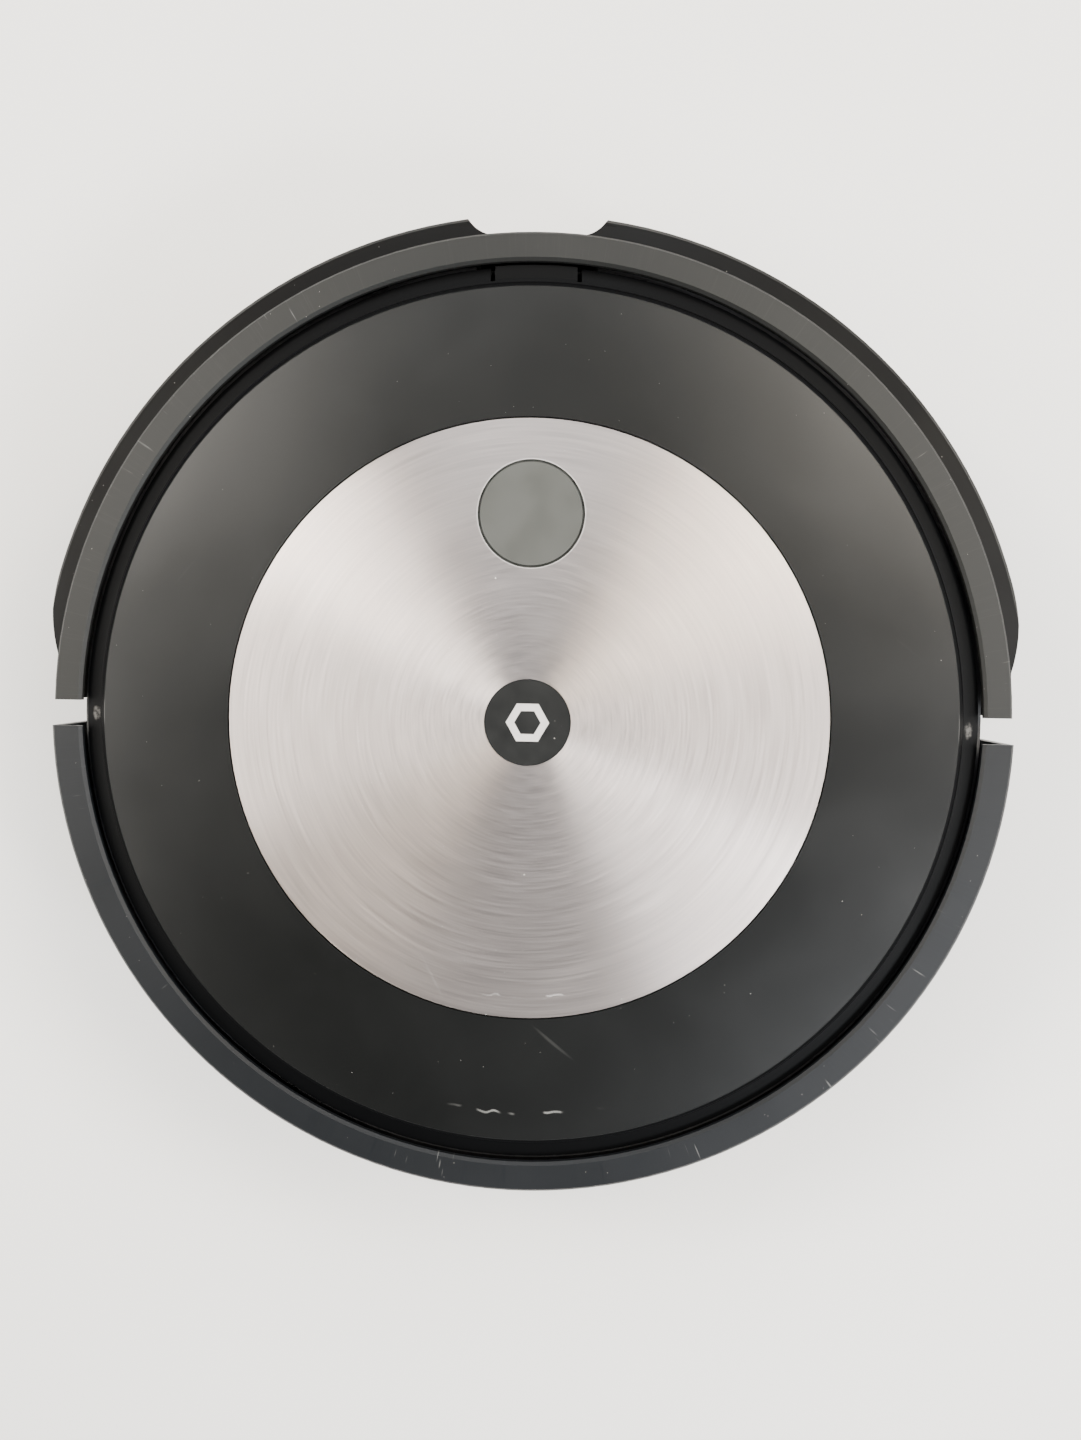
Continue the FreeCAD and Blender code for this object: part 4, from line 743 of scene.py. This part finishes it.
def make_coil(name, low, high, axis, wire, turns, material):
    """Compression spring wound between two corners, with its end turns closed down."""
    centre = (low + high) / 2
    size = high - low
    reach = size.dot(axis)
    radius = (size.x if axis is not ACROSS else size.y) / 2 - wire
    end_turns = 1.0
    closed = 2.1 * wire
    per_turn = 20
    bm = bmesh.new()
    made = bmesh.ops.create_circle(bm, cap_ends=True, segments=8, radius=wire)["verts"]
    moved(bm, made, Matrix.Translation((radius, 0, wire)) @ Matrix.Rotation(math.radians(90), 4, "X"))
    geom = made + list({edge for vert in made for edge in vert.link_edges}) + made[0].link_faces[:]
    rise = (reach - 2 * wire - 2 * end_turns * closed) / turns
    last = geom
    for count, climb in ((end_turns, closed), (turns, rise), (end_turns, closed)):
        steps = int(count * per_turn)
        last = bmesh.ops.spin(bm, geom=last, cent=(0, 0, 0), axis=UP, dvec=(0, 0, climb / per_turn),
                              angle=math.tau * count, steps=steps)["geom_last"]
    lay = Matrix.Rotation(math.radians(-90), 4, "X") if axis is ALONG else Matrix.Identity(4)
    foot = centre - axis * reach / 2
    moved(bm, list(bm.verts), Matrix.Translation(foot) @ lay)
    return piece(name, bm, material, None, ["return_springs"], 50.0)


def plain_room(strength):
    """Even studio surroundings, pale at eye level and dim overhead."""
    world = bpy.data.worlds.new("plain studio")
    world.use_nodes = True
    tree = world.node_tree
    where = tree.nodes.new("ShaderNodeTexCoord")
    height = tree.nodes.new("ShaderNodeSeparateXYZ")
    fall = tree.nodes.new("ShaderNodeMapRange")
    fall.interpolation_type = "SMOOTHSTEP"
    for key, value in {"From Min": 0.10, "From Max": 0.60, "To Min": 0.80, "To Max": strength}.items():
        fall.inputs[key].default_value = value
    tree.links.new(where.outputs["Generated"], height.inputs[0])
    tree.links.new(height.outputs["Z"], fall.inputs["Value"])
    tree.links.new(fall.outputs[0], tree.nodes["Background"].inputs["Strength"])
    tree.nodes["Background"].inputs["Color"].default_value = (0.95, 0.97, 1.0, 1)
    return world


# -------------------------------------------------------------- sizes and looks
def colour_choice(name, description, default):
    return FloatVectorProperty(name=name, description=description, subtype="COLOR", size=3,
                               min=0.0, max=1.0, default=default)


def length_choice(name, description, default):
    return FloatProperty(name=name, description=description, default=default, min=0.0,
                         subtype="DISTANCE", unit="LENGTH", precision=5)


def share_choice(name, description, default, top=1.0):
    return FloatProperty(name=name, description=description, default=default, min=0.0, max=top,
                         subtype="FACTOR")


def power_choice(name, description, default):
    return FloatProperty(name=name, description=description, default=default, min=0.0, unit="POWER")


class CoverLook(bpy.types.PropertyGroup):
    disc_tint: colour_choice("Disc tint", "Colour of the brushed metal disc", (0.76, 0.675, 0.635))
    disc_rough: share_choice("Disc roughness", "How far the brushing spreads the light", 0.36)
    disc_stretch: share_choice("Disc stretch", "How strongly the brushing draws the light out", 0.82)
    cover_tint: colour_choice("Cover tint", "Colour of the black cover", (0.0024, 0.0026, 0.0025))
    cover_rough: share_choice("Cover roughness", "Gloss of the black cover", 0.31)
    # Groove shade tint: painted shade, the near-black colour given to the cover's outer slope to stand for
    # the shadow in the groove.
    groove_shade_tint: colour_choice("Groove shade tint", "Colour round the cover", (0.0012, 0.0013, 0.0015))
    cap_tint: colour_choice("Cap tint", "Colour of the centre cap", (0.006, 0.0064, 0.0064))
    mark_size: length_choice("Mark size", "Corner radius of the hexagon on the centre cap", 7.35 * MM)
    button_tint: colour_choice("Button tint", "Colour of the clean button", (0.038, 0.0395, 0.0352))


class ShellLook(bpy.types.PropertyGroup):
    ring_tint: colour_choice("Ring tint", "Colour of the front half of the ring", (0.0082, 0.0084, 0.0078))
    rear_tint: colour_choice("Rear tint", "Colour of the rear shell and its ring", (0.0044, 0.0051, 0.0061))
    skirt_tint: colour_choice("Skirt tint", "Colour of the bumper skirt", (0.0022, 0.0021, 0.0020))
    # Bin tint and shade: the smoke grey of the bin, darkened with painted shade for its shadowed inside.
    bin_tint_and_shade: colour_choice("Bin tint and shade", "Colour of the smoked dust bin", (0.0052, 0.0053, 0.0058))


class UnderLook(bpy.types.PropertyGroup):
    base_tint: colour_choice("Base tint", "Colour of the base mouldings", (0.030, 0.031, 0.032))
    frame_tint: colour_choice("Frame tint", "Colour of the hinged roller frame", (0.085, 0.088, 0.090))
    tab_tint: colour_choice("Tab tint", "Colour of the tabs a user presses", (0.62, 0.40, 0.03))
    roller_tint: colour_choice("Roller tint", "Colour of the roller rubber", (0.030, 0.090, 0.050))
    gear_tint: colour_choice("Gear tint", "Colour of the gears and the fan wheel", (0.50, 0.50, 0.47))


class TyreSizes(bpy.types.PropertyGroup):
    thickness: length_choice("Thickness", "Rubber from bore to tread face", 6.4 * MM)
    tread_depth: length_choice("Tread depth", "Height of the lugs", 1.9 * MM)
    lugs: IntProperty(name="Lugs", description="Lugs in each row", default=28, min=8, max=60)
    slant: share_choice("Slant", "Slope of the lugs across the tyre", 0.45)


class BrushSizes(bpy.types.PropertyGroup):
    reach: length_choice("Reach", "Axis to the tip of the longest strand", 54.0 * MM)
    strand: length_choice("Strand", "Radius of one strand at its root", 0.22 * MM)
    strands: IntProperty(name="Strands", description="Strands in each tuft", default=70, min=10, max=200)
    fan: share_choice("Fan", "How far a tuft opens for its length", 0.075, 0.3)


class RollerSizes(bpy.types.PropertyGroup):
    core: length_choice("Core", "Radius of the plastic core", 11.0 * MM)
    skin: length_choice("Skin", "Radius of the sleeve between its fins", 15.0 * MM)
    fins: IntProperty(name="Fins", description="Fins round each sleeve", default=6, min=3, max=12)
    sweep: FloatProperty(name="Sweep", description="Angle a fin turns from its middle to its end",
                         default=math.radians(52), min=0.0, max=math.radians(120), subtype="ANGLE",
                         unit="ROTATION")


class FineSizes(bpy.types.PropertyGroup):
    pleats: IntProperty(name="Pleats", description="Folds in the filter paper", default=9, min=4, max=20)
    wire: length_choice("Spring wire", "Radius of the bumper springs' wire", 0.32 * MM)
    turns: IntProperty(name="Spring turns", description="Working turns of each spring", default=6,
                       min=3, max=12)


class StageSizes(bpy.types.PropertyGroup):
    floor_tint: colour_choice("Floor tint", "Colour of the plain floor", (0.70, 0.69, 0.67))
    window_power: power_choice("Window power", "Light from the large window", 22.0)
    side_power: power_choice("Side power", "Light from the second window", 24.0)
    back_power: power_choice("Back power", "Light from the far corner", 20.0)
    glint_power: power_choice("Glint power", "Light from each small bright pane", 9.0)
    panel_power: power_choice("Panel power", "Soft light from each large panel", 60.0)
    room_light: FloatProperty(name="Room light", description="Even light from all round", default=0.06,
                              min=0.0)
    lens: FloatProperty(name="Lens", description="Focal length of the camera", default=27.0, min=1.0,
                        subtype="DISTANCE_CAMERA")


# ------------------------------------------------------------------- operators
class FinishCover(bpy.types.Operator):
    """Finish the disc, cap, button, light guide and black cover"""
    bl_idname = "vacuum.finish_cover"
    bl_label = "Finish cover"

    def execute(self, context):
        look = context.scene.vacuum_cover
        paint_slots({
            "brushed_metal": brushed_disc(look),
            "satin_black": cover_black(look),
            "cap_charcoal": cap_charcoal(look),
            "button_grey": soft_button("silky grey key", look.button_tint),
            "light_guide": light_guide()})
        return {"FINISHED"}


class FinishShell(bpy.types.Operator):
    """Finish the bumper, the rear shell, the windows and the dust bin"""
    bl_idname = "vacuum.finish_shell"
    bl_label = "Finish shell"

    def execute(self, context):
        look = context.scene.vacuum_shell
        paint("bumper_ring", ring_plastic("matt grey ring", look.ring_tint, 0.50, 0.22))
        paint("rear_shell", ring_plastic("matt grey rear shell", look.rear_tint, 0.46, 0.18))
        paint_slots({
            "skirt_black": moulded("smooth black skirt", look.skirt_tint, 0.46, 0.004, 0.9, 0.25,
                                   gloss=0.07),
            "dark_window": dark_glass("dark window"),
            "bin_smoke": smoked_bin(look)})
        return {"FINISHED"}


class FinishUnderside(bpy.types.Operator):
    """Finish the base, the wheels' plastics, the roller frame and the contacts"""
    bl_idname = "vacuum.finish_underside"
    bl_label = "Finish underside"

    def execute(self, context):
        look = context.scene.vacuum_under
        paint_slots({
            "base_plastic": moulded("grained black base", look.base_tint, 0.56, 0.035, 0.6, 0.4),
            "hub_grey": moulded("grey wheel hub", (0.12, 0.12, 0.122), 0.44, 0.012, 0.5, 0.3),
            "caster_plastic": moulded("pale caster wheel", (0.16, 0.16, 0.16), 0.38, 0.01, 0.5, 0.4),
            "frame_grey": moulded("grey roller frame", look.frame_tint, 0.50, 0.03, 0.5, 0.35),
            "tab_yellow": moulded("bright tab", look.tab_tint, 0.42, 0.012, 0.4, 0.2),
            "contact_metal": worn_metal("nickelled contact", (0.72, 0.69, 0.62), 0.26),
            "screw_steel": worn_metal("blackened screw", (0.20, 0.20, 0.21), 0.36),
            "flap_rubber": rubber("flap rubber", (0.03, 0.03, 0.03))})
        return {"FINISHED"}


class FinishInside(bpy.types.Operator):
    """Finish the deck, boards, battery, motors, gears, pins and fan"""
    bl_idname = "vacuum.finish_inside"
    bl_label = "Finish inside"

    def execute(self, context):
        look = context.scene.vacuum_under
        paint_slots({
            "inner_plastic": moulded("dark inner moulding", (0.024, 0.024, 0.025), 0.52, 0.02, 0.5, 0.2),
            "circuit_board": circuit_board(),
            "battery_case": moulded("battery wrap", (0.045, 0.060, 0.085), 0.34, 0.006, 1.5, 0.1, 0.3),
            "motor_metal": worn_metal("zinc-plated motor can", (0.55, 0.55, 0.53), 0.34),
            "shaft_steel": worn_metal("ground steel pin", (0.62, 0.62, 0.61), 0.22),
            "core_plastic": moulded("grey roller core", (0.20, 0.20, 0.20), 0.45, 0.012, 0.5, 0.2),
            "gear_plastic": moulded("natural acetal", look.gear_tint, 0.36, 0.006, 0.5, 0.1)})
        return {"FINISHED"}


class MakeTyres(bpy.types.Operator):
    """Model the two treaded tyres"""
    bl_idname = "vacuum.make_tyres"
    bl_label = "Make tyres"

    def execute(self, context):
        material = rubber("tyre rubber", (0.022, 0.022, 0.022))
        for side in ("left", "right"):
            make_tyre(side, context.scene.vacuum_tyres, material)
        return {"FINISHED"}


class MakeSideBrush(bpy.types.Operator):
    """Model the three tufts of the side brush"""
    bl_idname = "vacuum.make_side_brush"
    bl_label = "Make side brush"

    def execute(self, context):
        make_bristles(context.scene.vacuum_brush, nylon("black nylon", (0.020, 0.020, 0.021)))
        return {"FINISHED"}


class MakeRollers(bpy.types.Operator):
    """Model the finned rubber sleeves of the two rollers"""
    bl_idname = "vacuum.make_rollers"
    bl_label = "Make rollers"

    def execute(self, context):
        material = rubber("roller rubber", context.scene.vacuum_under.roller_tint, 0.62, 0.25)
        for which in ("front", "rear"):
            make_roller_sleeve(which, context.scene.vacuum_rollers, material)
        return {"FINISHED"}


class MakeFilter(bpy.types.Operator):
    """Model the pleated filter and its frame"""
    bl_idname = "vacuum.make_filter"
    bl_label = "Make filter"

    def execute(self, context):
        plastic = moulded("filter frame plastic", (0.30, 0.30, 0.29), 0.5, 0.01, 0.5, 0.2)
        make_filter(context.scene.vacuum_fine, pleated_paper(), plastic)
        return {"FINISHED"}


class MakeSprings(bpy.types.Operator):
    """Model the bumper and wheel springs as wound wire"""
    bl_idname = "vacuum.make_springs"
    bl_label = "Make springs"

    def execute(self, context):
        sizes = context.scene.vacuum_fine
        steel = worn_metal("spring steel", (0.58, 0.57, 0.55), 0.28)
        for side, word in ((1, "left"), (-1, "right")):
            low, high = spring_box(side, True)
            coil = make_coil(f"bumper_spring_{word}", low, high, ALONG, sizes.wire, sizes.turns, steel)
            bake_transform(coil)
            low, high = spring_box(side, False)
            coil = make_coil(f"wheel_spring_{word}", low, high, UP, sizes.wire * 1.4, sizes.turns, steel)
            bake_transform(coil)
        return {"FINISHED"}


class SetStage(bpy.types.Operator):
    """Lay the floor, hang the lights and set the camera"""
    bl_idname = "vacuum.set_stage"
    bl_label = "Set stage"

    def execute(self, context):
        sizes = context.scene.vacuum_stage
        f = Finish("plain floor")
        soft = f.noise(7.0, 3.0)
        floor_finish = f.surface({
            "Base Color": f.tint(soft, shade(sizes.floor_tint, 0.97), shade(sizes.floor_tint, 1.03)),
            "Roughness": f.fade(soft, 0.2, 0.8, 0.62, 0.72)})
        bm = bmesh.new()
        bmesh.ops.create_grid(bm, x_segments=1, y_segments=1, size=4.0)
        bmesh.ops.translate(bm, verts=bm.verts, vec=(0, 0, -0.2 * MM))
        mesh = bpy.data.meshes.new("floor")
        bm.to_mesh(mesh)
        bm.free()
        mesh.materials.append(floor_finish)
        floor = bpy.data.objects.new("floor", mesh)
        context.scene.collection.objects.link(floor)
        lights = (
            ("window_light", (-0.76, 0.79, 1.05), (0.80, 0.34), sizes.window_power, (0.94, 0.965, 1.0)),
            ("side_light", (-0.72, -0.58, 1.20), (0.72, 0.42), sizes.side_power, (1.0, 0.93, 0.82)),
            ("back_light", (0.80, -0.55, 1.15), (0.52, 0.36), sizes.back_power, (1.0, 0.95, 0.87)),
            ("near_glint", (-1.02, 0.64, 1.10), (0.16, 0.20), sizes.glint_power, (0.95, 0.975, 1.0)),
            ("far_glint", (-0.92, -0.66, 1.20), (0.16, 0.20), sizes.glint_power * 0.6, (1.0, 0.93, 0.80)),
            ("left_glint", (0.97, -0.56, 1.10), (0.13, 0.20), sizes.glint_power * 0.6, (1.0, 0.93, 0.82)),
            ("right_panel", (-1.70, 0.00, 1.20), (1.30, 1.50), sizes.panel_power, (1.0, 0.98, 0.955)),
            ("left_panel", (1.70, 0.10, 1.20), (1.30, 1.50), sizes.panel_power, (1.0, 0.965, 0.90)),
            ("front_panel", (0.0, -1.70, 1.60), (1.60, 1.00), sizes.panel_power * 0.75, (0.95, 0.98, 1.0)),
            ("rear_panel", (0.0, 2.30, 1.00), (1.60, 0.80), sizes.panel_power * 0.12, (0.93, 0.96, 1.0)))
        for name, place, size, power, colour in lights:
            lamp = bpy.data.lights.new(name, "AREA")
            lamp.shape = "RECTANGLE"
            lamp.size, lamp.size_y = size
            lamp.energy = power
            lamp.color = colour
            holder = bpy.data.objects.new(name, lamp)
            holder.location = place
            holder.rotation_euler = (-Vector(place)).to_track_quat("-Z", "Y").to_euler()
            context.scene.collection.objects.link(holder)
        context.scene.world = plain_room(sizes.room_light)
        camera = bpy.data.objects.new("camera", bpy.data.cameras.new("camera"))
        camera.data.lens = sizes.lens
        camera.data.sensor_width = 36.0
        camera.location = CAMERA_PLACE
        camera.rotation_euler = [math.radians(turn) for turn in CAMERA_TURN]
        camera.data.clip_start = 0.01
        context.scene.collection.objects.link(camera)
        context.scene.camera = camera
        return {"FINISHED"}


class VacuumPanel(bpy.types.Panel):
    """Every step of the robot vacuum, with its sizes and colours"""
    bl_idname = "VIEW3D_PT_vacuum"
    bl_label = "Robot vacuum"
    bl_space_type = "VIEW_3D"
    bl_region_type = "UI"
    bl_category = "Vacuum"

    def draw(self, context):
        for group in GROUPS:
            choices = getattr(context.scene, group)
            for name in choices.bl_rna.properties.keys():
                if name not in ("rna_type", "name"):
                    self.layout.prop(choices, name)
        for step in STEPS:
            self.layout.operator(step.bl_idname)


GROUPS = {
    "vacuum_cover": CoverLook, "vacuum_shell": ShellLook, "vacuum_under": UnderLook,
    "vacuum_tyres": TyreSizes, "vacuum_brush": BrushSizes, "vacuum_rollers": RollerSizes,
    "vacuum_fine": FineSizes, "vacuum_stage": StageSizes}
STEPS = (FinishCover, FinishShell, FinishUnderside, FinishInside, MakeTyres, MakeSideBrush, MakeRollers,
         MakeFilter, MakeSprings, SetStage)


def register():
    for name, group in GROUPS.items():
        bpy.utils.register_class(group)
        setattr(bpy.types.Scene, name, PointerProperty(type=group))
    for step in STEPS:
        bpy.utils.register_class(step)
    bpy.utils.register_class(VacuumPanel)


def unregister():
    bpy.utils.unregister_class(VacuumPanel)
    for step in reversed(STEPS):
        bpy.utils.unregister_class(step)
    for name, group in reversed(GROUPS.items()):
        delattr(bpy.types.Scene, name)
        bpy.utils.unregister_class(group)


def main():
    register()
    bpy.ops.vacuum.finish_cover()
    bpy.ops.vacuum.finish_shell()
    bpy.ops.vacuum.finish_underside()
    bpy.ops.vacuum.finish_inside()
    bpy.ops.vacuum.make_tyres()
    bpy.ops.vacuum.make_side_brush()
    bpy.ops.vacuum.make_rollers()
    bpy.ops.vacuum.make_filter()
    bpy.ops.vacuum.make_springs()
    bpy.ops.vacuum.set_stage()


if __name__ == "__main__":
    main()
